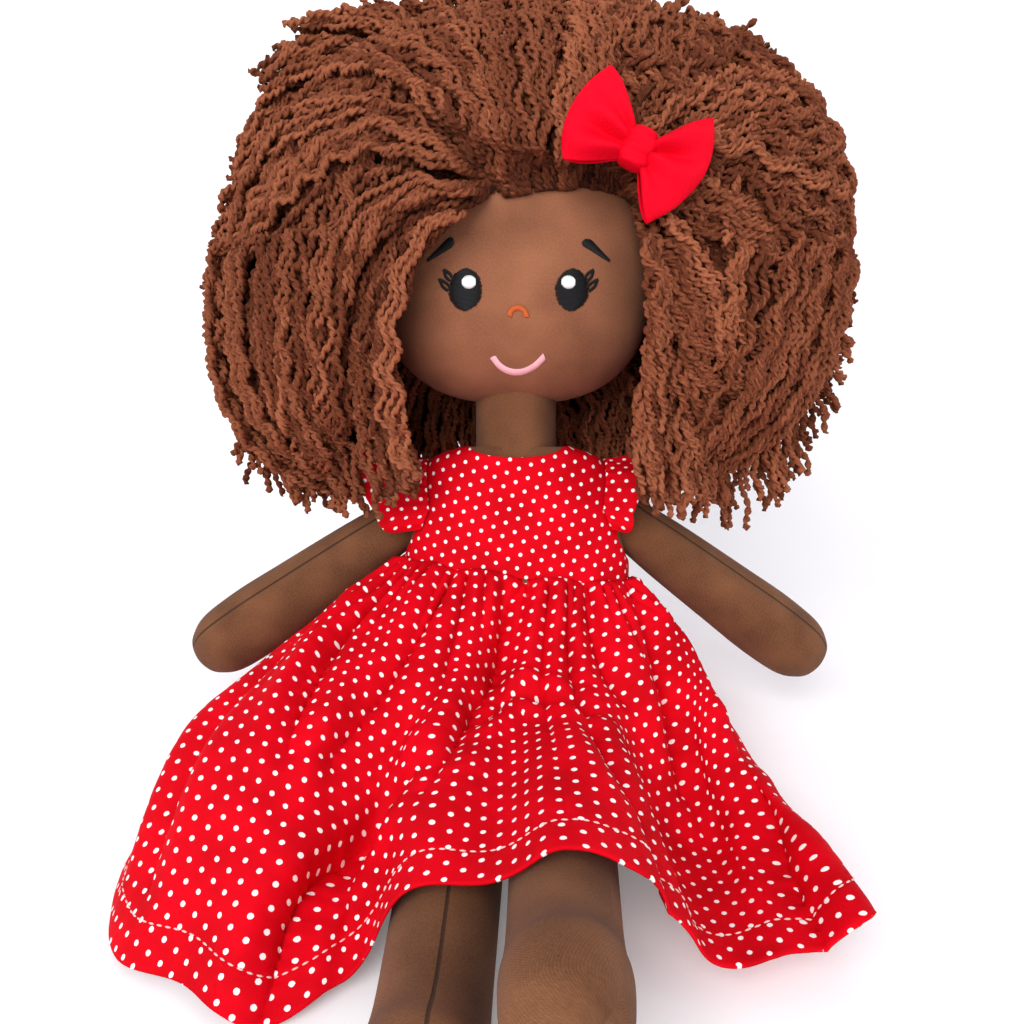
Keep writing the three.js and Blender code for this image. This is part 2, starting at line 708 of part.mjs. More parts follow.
// A sheet of cloth as a closed solid: place(u, v) is its middle, for u and v from 0 to 1
function clothSolid(place, acrossSteps, downSteps, thickness) {
  const front = [];
  const back = [];
  const step = 1e-3;
  for (let i = 0; i <= downSteps; i++) {
    for (let j = 0; j <= acrossSteps; j++) {
      const u = j / acrossSteps;
      const v = i / downSteps;
      const here = place(u, v);
      const sideways = place(Math.min(1, u + step), v).sub(place(Math.max(0, u - step), v));
      const down = place(u, Math.min(1, v + step)).sub(place(u, Math.max(0, v - step)));
      const out = down.cross(sideways).normalize();
      front.push(here.clone().addScaledVector(out, thickness / 2));
      back.push(here.clone().addScaledVector(out, -thickness / 2));
    }
  }
  const row = acrossSteps + 1;
  const shift = front.length;
  const faces = [];
  const quad = (a, b, c, d) => faces.push(a, b, c, a, c, d);
  for (let i = 0; i < downSteps; i++) {
    for (let j = 0; j < acrossSteps; j++) {
      const a = i * row + j;
      quad(a, a + row, a + row + 1, a + 1);
      quad(shift + a, shift + a + 1, shift + a + row + 1, shift + a + row);
    }
  }
  for (let j = 0; j < acrossSteps; j++) {
    const low = downSteps * row + j;
    quad(j, j + 1, shift + j + 1, shift + j);
    quad(low + 1, low, shift + low, shift + low + 1);
  }
  for (let i = 0; i < downSteps; i++) {
    const first = i * row;
    const last = first + acrossSteps;
    quad(first + row, first, shift + first, shift + first + row);
    quad(last, last + row, shift + last + row, shift + last);
  }
  return new THREE.BufferGeometry().setFromPoints([...front, ...back]).setIndex(faces);
}

// Everything under the tilted waist seam
function underWaist() {
  const slab = box(vector(-overrun, -overrun, -overrun), vector(overrun, overrun, 0));
  return slab.rotateY(degrees(bodice.waistTilt)).translate(0, 0, bodice.waist);
}

function necklineCutter() {
  const { halfWidth, front, round } = neckline;
  const outline = new THREE.Shape();
  outline.moveTo(-halfWidth, overrun);
  outline.lineTo(-halfWidth, front + round);
  outline.quadraticCurveTo(-halfWidth, front, 0, front);
  outline.quadraticCurveTo(halfWidth, front, halfWidth, front + round);
  outline.lineTo(halfWidth, overrun);
  outline.closePath();
  const prism = new THREE.ExtrudeGeometry(outline, { depth: overrun, bevelEnabled: false, curveSegments: 6 });
  return prism.rotateX(Math.PI / 2).translate(0, overrun / 2, 0);
}

function makeBodice() {
  const outside = solid(loft(torsoRings(gap + dressCloth)));
  const inside = solid(loft(torsoRings(gap)));
  const cutters = [
    underWaist(),
    necklineCutter(),
    armholeCutter(-1, gap),
    armholeCutter(1, gap),
    hollow(neck.radius + gap, neckPivot),
    box(vector(-overrun, -overrun, bodice.shoulder), vector(overrun, overrun, overrun)),
    box(vector(-neckline.halfWidth, -overrun, neckline.front), vector(neckline.halfWidth, overrun, overrun)),
  ];
  const shell = cutters.reduce((left, tool) => left.subtract(solid(tool)), outside.subtract(inside));
  const half = gap / 2;
  const far = overrun;
  const panels = {
    bodice_front: [vector(-far, -far, 0), vector(far, -half, far)],
    bodice_back_right: [vector(-far, half, 0), vector(-placketHalf, far, far)],
    bodice_back_left: [vector(placketHalf, half, 0), vector(far, far, far)],
  };
  return Object.entries(panels).map(([name, [from, to]]) =>
    piece(name, geometryOf(shell.intersect(solid(box(from, to)))), colours.red),
  );
}

// A flutter sleeve: a ruffled sheet fanned out from the armhole, fading away under the arm
function makeSleeve(side, name) {
  const place = (u, v) => {
    const turn = 2 * u - 1;
    const angle = degrees(turn * sleeveHem.half);
    const fullness = v * Math.cos((Math.PI / 2) * turn) ** sleeveHem.fadePower;
    const top = Math.abs(Math.cos(angle));
    const outward = Math.cos(angle) > 0 ? sleeve.upperRise : sleeve.lowerRise;
    const ruffle = flutter.ruffle * fullness * Math.cos(flutter.waves * angle);
    const radius = sleeve.radius + sleeve.radiusRise * top + flutter.flare * fullness + ruffle;
    const out = sleeve.start + outward * top + sleeveReach[name] * fullness;
    const height = arm.height + radius * Math.cos(angle) - flutter.droop * fullness;
    return vector(side * out, side * radius * Math.sin(angle), height);
  };
  const edge = sleeveEdgeShare;
  const inset = (u, v) => place(edge + u * (1 - 2 * edge), v);
  return piece(
    "sleeve_" + name,
    clothSolid(inset, sleeveSteps.around, sleeveSteps.out, dressCloth),
    colours.red,
  );
}

// The room in the hair for a sleeve and for the arm as it swings
function sleeveRoom(side) {
  const radius = sleeve.radius + sleeve.radiusRise + flutter.flare + flutter.ruffle + dressCloth;
  const rings = [0, 1].map((share) => {
    const out = sleeve.start - dressCloth + share * (sleeve.upperRise + sleeveReach.right + 2 * dressCloth);
    const points = ring(out, radius, radius, socket.sides, 2);
    return points.map((p) => vector(side * p.z, p.y, arm.height + p.x));
  });
  return loft(side > 0 ? rings.reverse() : rings);
}

function makeButton(name) {
  const { radius, thickness, rimShare, dishShare, sides } = button;
  const profile = [
    new THREE.Vector2(0, -thickness),
    new THREE.Vector2(radius, -thickness),
    new THREE.Vector2(radius, thickness * dishShare),
    new THREE.Vector2(radius * rimShare, thickness),
    new THREE.Vector2(radius * dishShare, thickness * dishShare),
    new THREE.Vector2(0, thickness * dishShare),
  ];
  const height = buttonHeights[name];
  const seat = torsoHalvesAt(height).depth + gap + dressCloth + gap;
  const lathe = new THREE.LatheGeometry(profile, sides).translate(0, seat, height);
  const back = loft(torsoRings(gap + dressCloth + gap));
  return piece("dress_button_" + name, cut(lathe, [back]), colours.bowRed);
}

// A place on the waist seam, an angle round from the doll's left side
function waistPlace(angle) {
  const halves = torsoHalvesAt(bodice.waist);
  const c = Math.cos(angle);
  const s = Math.sin(angle);
  const stand = gap + dressCloth / 2;
  const x = (halves.width + stand) * Math.sign(c) * Math.abs(c) ** (2 / torso.squareness);
  const y = (halves.depth + stand) * Math.sign(s) * Math.abs(s) ** (2 / torso.squareness);
  const seam = gap + dressCloth / 2;
  return leanBack(vector(x, y, bodice.waist - seam - x * Math.tan(degrees(bodice.waistTilt))));
}

// A panel of the skirt: a smooth sheet through its folds, gathered at the waist
function skirtSheet(foldShares, fromAngle, toAngle, pleats) {
  const rows = [0, 1, 2].map((row) => {
    const places = foldShares.map((fold) => {
      const [acrossShare, forwardShare, upShare] = fold[row];
      return vector(acrossShare * skirt.spread, -forwardShare * skirt.reach, upShare * skirt.rise);
    });
    return new THREE.CatmullRomCurve3(places);
  });
  const waistLength = ((torso.width + torso.depth) * Math.PI) / 4;
  const hemLength = rows[2].getLength();
  const seam = gap + dressCloth / 2;
  return (along, v) => {
    const margin = seam / (waistLength + v * (hemLength - waistLength));
    const u = margin + along * (1 - 2 * margin);
    const waist = waistPlace(degrees(fromAngle + u * (toAngle - fromAngle)));
    const line = new THREE.CatmullRomCurve3([waist, ...rows.map((row) => row.getPoint(u))]);
    const place = line.getPoint(v);
    const pleat = Math.cos(Math.PI * pleats * along) * Math.max(0, 1 - v / gathers.fadeShare);
    place.z += gathers.depth * pleat * Math.min(1, v / gathers.startShare);
    return place;
  };
}

function makeSkirt() {
  const front = skirtSheet(frontFoldShares, 180, 360, skirtSteps.front);
  const back = skirtSheet(backFoldShares, 0, 180, skirtSteps.back);
  return [
    piece("skirt_front", clothSolid(front, skirtSteps.front, skirtSteps.down, dressCloth), colours.red),
    piece("skirt_back", clothSolid(back, skirtSteps.back, skirtSteps.downBack, dressCloth), colours.red),
  ];
}

const upperBody = new THREE.Group();
upperBody.rotation.x = -degrees(recline);
upperBody.add(...makeTorso(), ...makeNeck(), ...makeHead());
upperBody.add(...makeEye(-1, "right"), ...makeEye(1, "left"), ...makeNoseAndMouth());
upperBody.add(makeArm(-1, "right"), makeArm(1, "left"));
upperBody.add(...makeHair(), makeBow());
upperBody.add(...makeBodice(), makeSleeve(-1, "right"), makeSleeve(1, "left"));
upperBody.add(makeButton("upper"), makeButton("lower"));

const doll = new THREE.Group();
doll.add(upperBody, makeLeg(-1, "right"), makeLeg(1, "left"), ...makeSkirt());

export default doll;
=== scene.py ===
import math

import bpy
import numpy as np
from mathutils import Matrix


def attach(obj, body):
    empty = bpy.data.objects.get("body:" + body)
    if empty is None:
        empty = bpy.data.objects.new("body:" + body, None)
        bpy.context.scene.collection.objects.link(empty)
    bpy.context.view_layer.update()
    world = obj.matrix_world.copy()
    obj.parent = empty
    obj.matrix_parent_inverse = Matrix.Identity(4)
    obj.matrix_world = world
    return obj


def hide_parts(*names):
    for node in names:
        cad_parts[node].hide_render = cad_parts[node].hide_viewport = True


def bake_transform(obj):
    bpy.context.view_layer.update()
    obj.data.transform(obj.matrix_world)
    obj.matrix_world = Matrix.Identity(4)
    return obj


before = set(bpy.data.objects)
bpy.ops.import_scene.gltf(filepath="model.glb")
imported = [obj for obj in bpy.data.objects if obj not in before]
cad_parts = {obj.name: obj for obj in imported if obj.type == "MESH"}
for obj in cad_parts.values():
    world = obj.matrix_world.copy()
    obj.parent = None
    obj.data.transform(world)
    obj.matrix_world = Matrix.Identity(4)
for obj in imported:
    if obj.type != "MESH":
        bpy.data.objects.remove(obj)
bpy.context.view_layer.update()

# Camera: a phone held close in front of the doll, looking 15 degrees down on it.
camera_data = bpy.data.cameras.new("camera")
camera_data.lens = 27.04
camera_data.sensor_width = 36.0
camera_data.dof.use_dof = False
camera_data.clip_start = 0.01
camera = bpy.data.objects.new("camera", camera_data)
camera.location = (-0.002, -0.356, 0.208)
camera.rotation_euler = (math.radians(75), 0, 0)
bpy.context.scene.collection.objects.link(camera)
bpy.context.scene.camera = camera
bpy.context.scene.view_settings.view_transform = "Standard"


# Torso: a cushion of brown quilting cotton stuffed with fibre, hidden by the dress. It leans back
# ten degrees, sits flat on the floor, and carries the sleeves of the arms, the legs and the neck.
# Lengths in the whole file are millimetres until a mesh is made.
RECLINE = math.radians(10)


def linear(hex_colour):
    """An sRGB hex colour as the linear values that a node takes."""
    parts = [int(hex_colour[i : i + 2], 16) / 255 for i in (1, 3, 5)]
    return [p / 12.92 if p <= 0.04045 else ((p + 0.055) / 1.055) ** 2.4 for p in parts] + [1.0]


def add(tree, kind, links=None, **settings):
    """A node with its settings; links gives each input a value or the socket that drives it."""
    node = tree.nodes.new(kind)
    for name, value in settings.items():
        setattr(node, name, value)
    for socket, source in (links or {}).items():
        if isinstance(source, bpy.types.NodeSocket):
            tree.links.new(source, node.inputs[socket])
        else:
            node.inputs[socket].default_value = source
    return node


def new_material(name):
    """A material with nodes: itself, its tree and its shader."""
    material = bpy.data.materials.new(name)
    material.use_nodes = True
    return material, material.node_tree, material.node_tree.nodes["Principled BSDF"]


def mixed(tree, share, one, other):
    """One colour and another, mixed by the share of the other; each is a hex value or a socket."""
    one, other = (linear(colour) if isinstance(colour, str) else colour for colour in (one, other))
    return add(tree, "ShaderNodeMix", {0: share, 6: one, 7: other}, data_type="RGBA").outputs[2]


def relief(tree, height, strength, distance):
    """Fine unevenness of the surface, by a pattern."""
    bump = add(tree, "ShaderNodeBump", {"Strength": strength, "Distance": distance, "Height": height})
    tree.links.new(bump.outputs[0], tree.nodes["Principled BSDF"].inputs["Normal"])


def lean_back(points):
    """From the body's own leaning frame to the floor's."""
    p = np.asarray(points, float)
    c, s = math.cos(RECLINE), math.sin(RECLINE)
    return np.stack([p[..., 0], p[..., 1] * c + p[..., 2] * s, p[..., 2] * c - p[..., 1] * s], -1)


def through(rows, places):
    """A smooth curve through rows, of any shape, read at places from 0 to 1."""
    rows = np.asarray(rows, float)
    padded = np.concatenate([2 * rows[:1] - rows[1:2], rows, 2 * rows[-1:] - rows[-2:-1]])
    at = np.clip(np.asarray(places, float), 0, 1) * (len(rows) - 1)
    i = np.minimum(at.astype(int), len(rows) - 2)
    w = (at - i).reshape((-1,) + (1,) * (rows.ndim - 1))
    p0, p1, p2, p3 = (padded[i + k] for k in range(4))

    def step(a, b):
        if rows.ndim == 1:
            return np.maximum(np.abs(b - a) ** 0.5, 1e-4)
        return np.maximum((((b - a) ** 2).sum(-1, keepdims=True)) ** 0.25, 1e-4)

    d0, d1, d2 = step(p0, p1), step(p1, p2), step(p2, p3)
    t1 = ((p1 - p0) / d0 - (p2 - p0) / (d0 + d1) + (p2 - p1) / d1) * d1
    t2 = ((p2 - p1) / d1 - (p3 - p1) / (d1 + d2) + (p3 - p2) / d2) * d1
    return p1 + t1 * w + (3 * (p2 - p1) - 2 * t1 - t2) * w**2 + (2 * (p1 - p2) + t1 + t2) * w**3


def placed(name, points, faces, material, uv=None):
    """A mesh object from points in millimetres, with one map of places on the flat cloth."""
    mesh = bpy.data.meshes.new(name)
    mesh.from_pydata((np.asarray(points) * 0.001).tolist(), [], [list(f) for f in faces])
    mesh.polygons.foreach_set("use_smooth", [True] * len(mesh.polygons))
    if uv is not None:
        layer = mesh.uv_layers.new(name="cloth")
        layer.data.foreach_set("uv", np.asarray(uv, np.float32).ravel())
    piece = bpy.data.objects.new(name, mesh)
    bpy.context.scene.collection.objects.link(piece)
    piece.data.materials.append(material)
    return piece


def stuffed(name, rings, material, seam=None):
    """A closed skin through rings of points [along, around, 3], with a map in millimetres of cloth
    that is 0 along the column of the sewn seam. Without a seam the map is whole over the front."""
    rings = np.asarray(rings, float)
    along, around = rings.shape[:2]
    rings = np.roll(rings, -(around * 3 // 4 if seam is None else seam), axis=1)
    points = np.concatenate([rings.reshape(-1, 3), rings[:1].mean(1), rings[-1:].mean(1)])
    edge = np.linalg.norm(np.roll(rings, -1, axis=1) - rings, axis=2)
    far = np.concatenate([np.zeros((along, 1)), np.cumsum(edge, axis=1)], axis=1)
    down = np.concatenate([[0], np.cumsum(np.linalg.norm(np.diff(rings, axis=0), axis=2).mean(1))])
    offset = 500 if seam is None else 0
    i, j = np.meshgrid(np.arange(along - 1), np.arange(around), indexing="ij")
    corners = (i, j), (i, j + 1), (i + 1, j + 1), (i + 1, j)
    quads = np.stack([a * around + b % around for a, b in corners], -1)
    uv = [[far[a, b] - (j >= around // 2) * far[a, -1] + offset, down[a]] for a, b in corners]
    uv = np.moveaxis(np.array(uv), (0, 1), (2, 3)).reshape(-1, 2).tolist()
    faces = quads.reshape(-1, 4).tolist()
    last = (along - 1) * around
    for j in range(around):
        k = (j + 1) % around
        faces += [[k, j, along * around], [last + j, last + k, along * around + 1]]
        uv += [[far[0, j + 1] + offset, 0], [far[0, j] + offset, 0], [far[0, j] + offset, -1]]
        here, there = far[-1, j] + offset, far[-1, j + 1] + offset
        uv += [[here, down[-1]], [there, down[-1]], [here, down[-1] + 1]]
    return placed(name, points, faces, material, uv)


def thread_grain(tree, axes, pitch):
    """The crossing threads of a plain weave, as a pattern from -1 to 1."""
    waves = []
    for axis in axes[0], axes[1]:
        turn = add(tree, "ShaderNodeMath", {0: axis, 1: 2 * math.pi / pitch}, operation="MULTIPLY")
        waves.append(add(tree, "ShaderNodeMath", {0: turn.outputs[0]}, operation="SINE").outputs[0])
    return add(tree, "ShaderNodeMath", {0: waves[0], 1: waves[1]}, operation="MULTIPLY").outputs[0]


def brown_cotton(name, colour, dark):
    """Plain woven quilting cotton, dyed brown: matt, with a faint grain of threads and a sewn seam
    along the line where the map is 0. Real threads are 0.3 mm apart, and the grain is drawn at
    0.9 mm so that it shows."""
    material, tree, shader = new_material(name)
    place = add(tree, "ShaderNodeUVMap", uv_map="cloth").outputs[0]
    axes = add(tree, "ShaderNodeSeparateXYZ", {0: place}).outputs
    weave = thread_grain(tree, axes, 0.9)
    slubs = {"Vector": place, "Scale": 1.1, "Detail": 4.0, "Roughness": 0.7}
    slubs = add(tree, "ShaderNodeTexNoise", slubs)
    clouds = add(tree, "ShaderNodeTexNoise", {"Vector": place, "Scale": 0.035, "Detail": 2.0})
    uneven = {0: slubs.outputs[0], 1: 0.8, 2: clouds.outputs[0]}
    uneven = add(tree, "ShaderNodeMath", uneven, operation="MULTIPLY_ADD")
    thread = {0: weave, 1: 0.14, 2: uneven.outputs[0]}
    thread = add(tree, "ShaderNodeMath", thread, operation="MULTIPLY_ADD").outputs[0]
    tone = add(tree, "ShaderNodeMapRange", {"Value": thread, "From Min": 0.55, "From Max": 1.25})
    cloth = mixed(tree, tone.outputs[0], dark, colour)
    off_seam = add(tree, "ShaderNodeMath", {0: axes[0]}, operation="ABSOLUTE")
    seam = add(
        tree,
        "ShaderNodeMapRange",
        {"Value": off_seam.outputs[0], "From Min": 0.25, "From Max": 0.8, "To Min": 0.72, "To Max": 0.0},
        interpolation_type="SMOOTHSTEP",
    ).outputs[0]
    tree.links.new(mixed(tree, seam, cloth, "#22150e"), shader.inputs["Base Color"])
    groove = add(tree, "ShaderNodeMath", {0: seam, 1: -2.2, 2: thread}, operation="MULTIPLY_ADD")
    relief(tree, groove.outputs[0], strength=0.8, distance=0.0004)
    shader.inputs["Roughness"].default_value = 0.92
    shader.inputs["Specular IOR Level"].default_value = 0.2
    shader.inputs["Sheen Weight"].default_value = 0.05
    shader.inputs["Sheen Roughness"].default_value = 0.5
    return material


def oval(count, half_width, half_depth, power):
    """Points round a rounded section, from +X towards +Y; sizes may be arrays along the piece."""
    a = 2 * math.pi * np.arange(count) / count
    c, s = np.cos(a), np.sin(a)
    x = np.sign(c) * np.abs(c) ** (2 / power)
    y = np.sign(s) * np.abs(s) ** (2 / power)
    return np.outer(half_width, x), np.outer(half_depth, y)


TORSO = {"width": 110, "depth": 68, "height": 142, "below": 9, "squareness": 2.5}
# Up the torso: the share of its height, of its half width and of its half depth
TORSO_SHARES = [
    [0.0, 0.7, 0.7], [0.06, 0.92, 0.9], [0.16, 1.0, 1.0], [0.36, 1.0, 0.97], [0.62, 1.0, 0.9],
    [0.76, 0.93, 0.84], [0.88, 0.85, 0.73], [0.955, 0.75, 0.6], [1.0, 0.46, 0.56],
]


def torso_halves(height, grow=0.0):
    """Half the torso's width and depth at heights up the body."""
    share = (np.asarray(height, float) + TORSO["below"]) / (TORSO["height"] + TORSO["below"])
    rows = through(TORSO_SHARES, np.linspace(0, 1, 200))
    width = np.interp(share, rows[:, 0], rows[:, 1]) * TORSO["width"] / 2 + grow
    depth = np.interp(share, rows[:, 0], rows[:, 2]) * TORSO["depth"] / 2 + grow
    return width, depth


cotton_limbs = brown_cotton("brown_cotton_limbs", "#86583a", "#4f301e")
heights = np.linspace(-TORSO["below"], TORSO["height"], 60)
half_width, half_depth = torso_halves(heights)
x, y = oval(72, half_width, half_depth, TORSO["squareness"])
rings = lean_back(np.stack([x, y, np.repeat(heights[:, None], 72, 1)], -1))
rings[..., 2] = np.maximum(rings[..., 2], 0)
torso = stuffed("torso", rings, cotton_limbs)
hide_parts("torso_skin", "torso_filling")
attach(torso, "torso")


# Neck: a short tube of the same cotton, firmly stuffed, sewn into the body and up into the head.
# Its foot is round, so that it can nod in the collar of the torso.
NECK = {"radius": 20.4, "pivot": 136, "foot": 120, "top": 171}
angles = np.linspace(math.asin((NECK["foot"] - NECK["pivot"]) / NECK["radius"]), 0, 10)
profile = [[NECK["radius"] * math.cos(a), NECK["pivot"] + NECK["radius"] * math.sin(a)] for a in angles]
for k in range(1, 12):  # above the pivot it is a tube, half a millimetre slimmer in the middle
    slim = NECK["radius"] - 0.5 * math.sin(math.pi * k / 11)
    profile.append([slim, NECK["pivot"] + (NECK["top"] - NECK["pivot"]) * k / 11])
profile = np.array(profile)
x, y = oval(72, profile[:, 0], profile[:, 0], 2)
rings = lean_back(np.stack([x, y, np.repeat(profile[:, 1:], 72, 1)], -1))
neck = stuffed("neck", rings, cotton_limbs)
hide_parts("neck_skin", "neck_filling")
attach(neck, "neck")


# Head: a wide cushion of two shaped cotton panels, stuffed firm and smooth, flat enough in front
# to carry the stitched face. Its seam runs behind, under the wig.
HEAD = {"width": 134, "depth": 94, "crown": 288, "widest": 231, "chin": 163.5}
OUTLINE_POWER, PROFILE_POWER, SECTION_POWER = 2.7, 2.3, 2.5


def left_at(height, power):
    """The share of its greatest width or depth that the head has left at a height."""
    above, below = HEAD["crown"] - HEAD["widest"], HEAD["widest"] - HEAD["chin"]
    rise = np.minimum(1, np.abs(height - HEAD["widest"]) / np.where(height > HEAD["widest"], above, below))
    return (1 - rise**power) ** (1 / power)


def face_depth(across, height):
    """How far forward the face is at places across and up."""
    across, height = np.asarray(across, float), np.asarray(height, float)
    half_width = HEAD["width"] / 2 * left_at(height, OUTLINE_POWER)
    half_depth = HEAD["depth"] / 2 * left_at(height, PROFILE_POWER)
    side = np.minimum(1, np.abs(across) / np.maximum(half_width, 1e-6))
    return half_depth * (1 - side**SECTION_POWER) ** (1 / SECTION_POWER)


cotton_face = brown_cotton("brown_cotton_face", "#a0684a", "#744832")
turns = np.cos(np.pi * (np.arange(90) + 0.35) / 89.7)[::-1]
reach = np.where(turns > 0, HEAD["crown"] - HEAD["widest"], HEAD["widest"] - HEAD["chin"])
heights = HEAD["widest"] + reach * turns
x, y = oval(
    120,
    HEAD["width"] / 2 * left_at(heights, OUTLINE_POWER),
    HEAD["depth"] / 2 * left_at(heights, PROFILE_POWER),
    SECTION_POWER,
)
rings = lean_back(np.stack([x, y, np.repeat(heights[:, None], 120, 1)], -1))
head = stuffed("head", rings, cotton_face)
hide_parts("head_skin", "head_filling")
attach(head, "head")


# Face: machine embroidery in glossy polyester thread. Each eye is a black satin-stitched ellipse
# with a white glint over it and two open lashes; the brows, nose and mouth are narrow satin columns.
THREAD = 0.62  # width of one stitch; real thread is 0.35 mm and is drawn wider so that it shows


def embroidery_thread(name, colour):
    """Trilobal polyester thread: smooth, with a soft shine along each stitch."""
    material, tree, shader = new_material(name)
    place = add(tree, "ShaderNodeTexCoord").outputs["Object"]
    fleck = add(tree, "ShaderNodeTexNoise", {"Vector": place, "Scale": 900.0, "Detail": 2.0})
    shade = [c * 0.82 for c in linear(colour)[:3]] + [1.0]
    tree.links.new(mixed(tree, fleck.outputs[0], shade, colour), shader.inputs["Base Color"])
    relief(tree, fleck.outputs[0], strength=0.3, distance=0.0001)
    shader.inputs["Roughness"].default_value = 0.55
    shader.inputs["Specular IOR Level"].default_value = 0.22
    return material


def stitches(name, pairs, material, width=THREAD, lift=0.25, crown=0.35, replaces=()):
    """Straight stitches on the face, each from one place to another, given across and up."""
    points, faces = [], []
    steps, sides = 6, 6
    for start, end in pairs:
        start, end = np.array(start, float), np.array(end, float)
        run = end - start
        length = max(np.linalg.norm(run), 1e-6)
        across = np.array([-run[1], run[0]]) / length
        base = len(points)
        for i in range(steps + 1):
            t = i / steps
            middle = start + run * t
            swell = math.sin(math.pi * (0.08 + 0.84 * t)) ** 0.5
            for k in range(sides):
                a = 2 * math.pi * k / sides
                x, w = middle + across * (width / 2) * swell * math.cos(a)
                out = lift + crown * math.sin(math.pi * t) + (width / 2) * 0.8 * swell * math.sin(a)
                points.append([x, -float(face_depth(x, w)) - out, w])
        for i in range(steps):
            for k in range(sides):
                a, b = base + i * sides + k, base + i * sides + (k + 1) % sides
                faces.append([a, b, b + sides, a + sides])
        faces.append([base + k for k in range(sides)][::-1])
        faces.append([base + steps * sides + k for k in range(sides)])
    piece = placed(name, lean_back(points), faces, material)
    if replaces:
        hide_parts(*replaces)
    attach(piece, "head")


EYE = {"across": 23.3, "height": 210.3, "middle": 0.9, "width": 14.8, "tall": 17.4}
GLINT = {"wide": 5.6, "inward": 1.7, "above": 3.0}
black_thread = embroidery_thread("black_thread", "#191a1c")
white_thread = embroidery_thread("white_thread", "#ffffff")
rust_thread = embroidery_thread("rust_thread", "#c8602f")
pink_thread = embroidery_thread("pink_thread", "#ffc0c8")
for side, name in (-1, "right"), (1, "left"):
    rng = np.random.default_rng(11 + side)
    centre = EYE["middle"] + side * EYE["across"]
    rows = np.arange(-EYE["tall"] / 2 + 0.2, EYE["tall"] / 2, 0.5)
    half = EYE["width"] / 2 * np.sqrt(np.maximum(1 - (rows / (EYE["tall"] / 2)) ** 2, 0.03))
    jag = rng.uniform(-0.35, 0.35, (len(rows), 2))
    satin = [
        [[centre - h + a, EYE["height"] + r - 0.2], [centre + h + b, EYE["height"] + r + 0.2]]
        for r, h, (a, b) in zip(rows, half, jag)
    ]
    stitches("eye_stitches_" + name, satin, black_thread, replaces=["eye_" + name])
    middle, above = centre - side * GLINT["inward"], EYE["height"] + GLINT["above"]
    columns = np.arange(-GLINT["wide"] / 2, GLINT["wide"] / 2 + 0.1, 0.5)
    tall = GLINT["wide"] / 2 * np.sqrt(np.maximum(1 - (columns / (GLINT["wide"] / 2 + 0.4)) ** 2, 0.1))
    glint = [[[middle + c, above - t], [middle + c, above + t]] for c, t in zip(columns, tall)]
    stitches("eye_glint_" + name, glint, white_thread, lift=0.85, replaces=["eye_highlight_" + name])


def unit(v):
    """Arrows the same way as v, of length 1."""
    return v / np.maximum(np.linalg.norm(v, axis=-1, keepdims=True), 1e-9)


def column_along(line, half, count):
    """Satin stitches across a line, close together; half is half their length."""
    line = through(line, np.linspace(0, 1, count))
    way = unit(np.gradient(line, axis=0))
    across = np.stack([-way[:, 1], way[:, 0]], -1) * half
    slant = way * half * 0.35
    return [[a - b - s, a + b + s] for a, b, s in zip(line, across, slant)]


# The brows are short teardrops, thick at their inner ends; the nose and mouth are even arcs, and
# each eye has two open lashes on its outer side.
brow_line = [[28.4, 231.0], [32.2, 228.5], [36.0, 225.8], [39.8, 223.4]]
thick = 2.4 * np.clip(np.linspace(0.25, 7, 34), 0, 1) ** 0.5 * np.linspace(1, 0.25, 34)
for side, name in (-1, "right"), (1, "left"):
    brow = column_along([[EYE["middle"] + side * x, w] for x, w in brow_line], thick[:, None], 34)
    stitches("brow_stitches_" + name, brow, black_thread, replaces=["eyebrow_" + name])
nose_line = [[-3.1, 199.4], [-2.5, 201.2], [-0.6, 202.5], [1.9, 202.4], [3.8, 200.9], [4.4, 199.0]]
mouth_line = [[-10.6, 182.2], [-7.4, 178.5], [-2.7, 176.3], [2.7, 176.2], [8.4, 178.7], [12.4, 182.4]]
stitches("nose_stitches", column_along(nose_line, 1.2, 30), rust_thread, replaces=["nose"])
stitches("mouth_stitches", column_along(mouth_line, 1.4, 60), pink_thread, replaces=["mouth"])
LASHES = [[[5.9, 4.6], [9.2, 8.6]], [[6.9, 0.6], [11.3, 4.7]]]  # base and tip, from the eye's centre
for side, name in (-1, "right"), (1, "left"):
    thin = []
    for base, tip in LASHES:
        base, tip = np.array(base), np.array(tip)
        across = np.array([tip[1] - base[1], base[0] - tip[0]]) / np.linalg.norm(tip - base)
        for bulge, start in (1.25, 1.1), (-0.75, -0.6):
            line = [base + across * start, (base + tip) / 2 + across * bulge, tip]
            line = [[EYE["middle"] + side * (EYE["across"] + x), EYE["height"] + w] for x, w in line]
            thin += column_along(line, 0.7, 14)
    stitches("lash_stitches_" + name, thin, black_thread, width=0.5, crown=0.15)


# Arms: each is a tube of brown cotton sewn along one side and turned, fuller towards the rounded
# mitten hand and closed at its tip, stuffed with fibre. Its seam shows as a fine dark line.
ARM = {"root": 12.6, "hand": 18, "across": 46, "height": 112, "flat": 0.92}
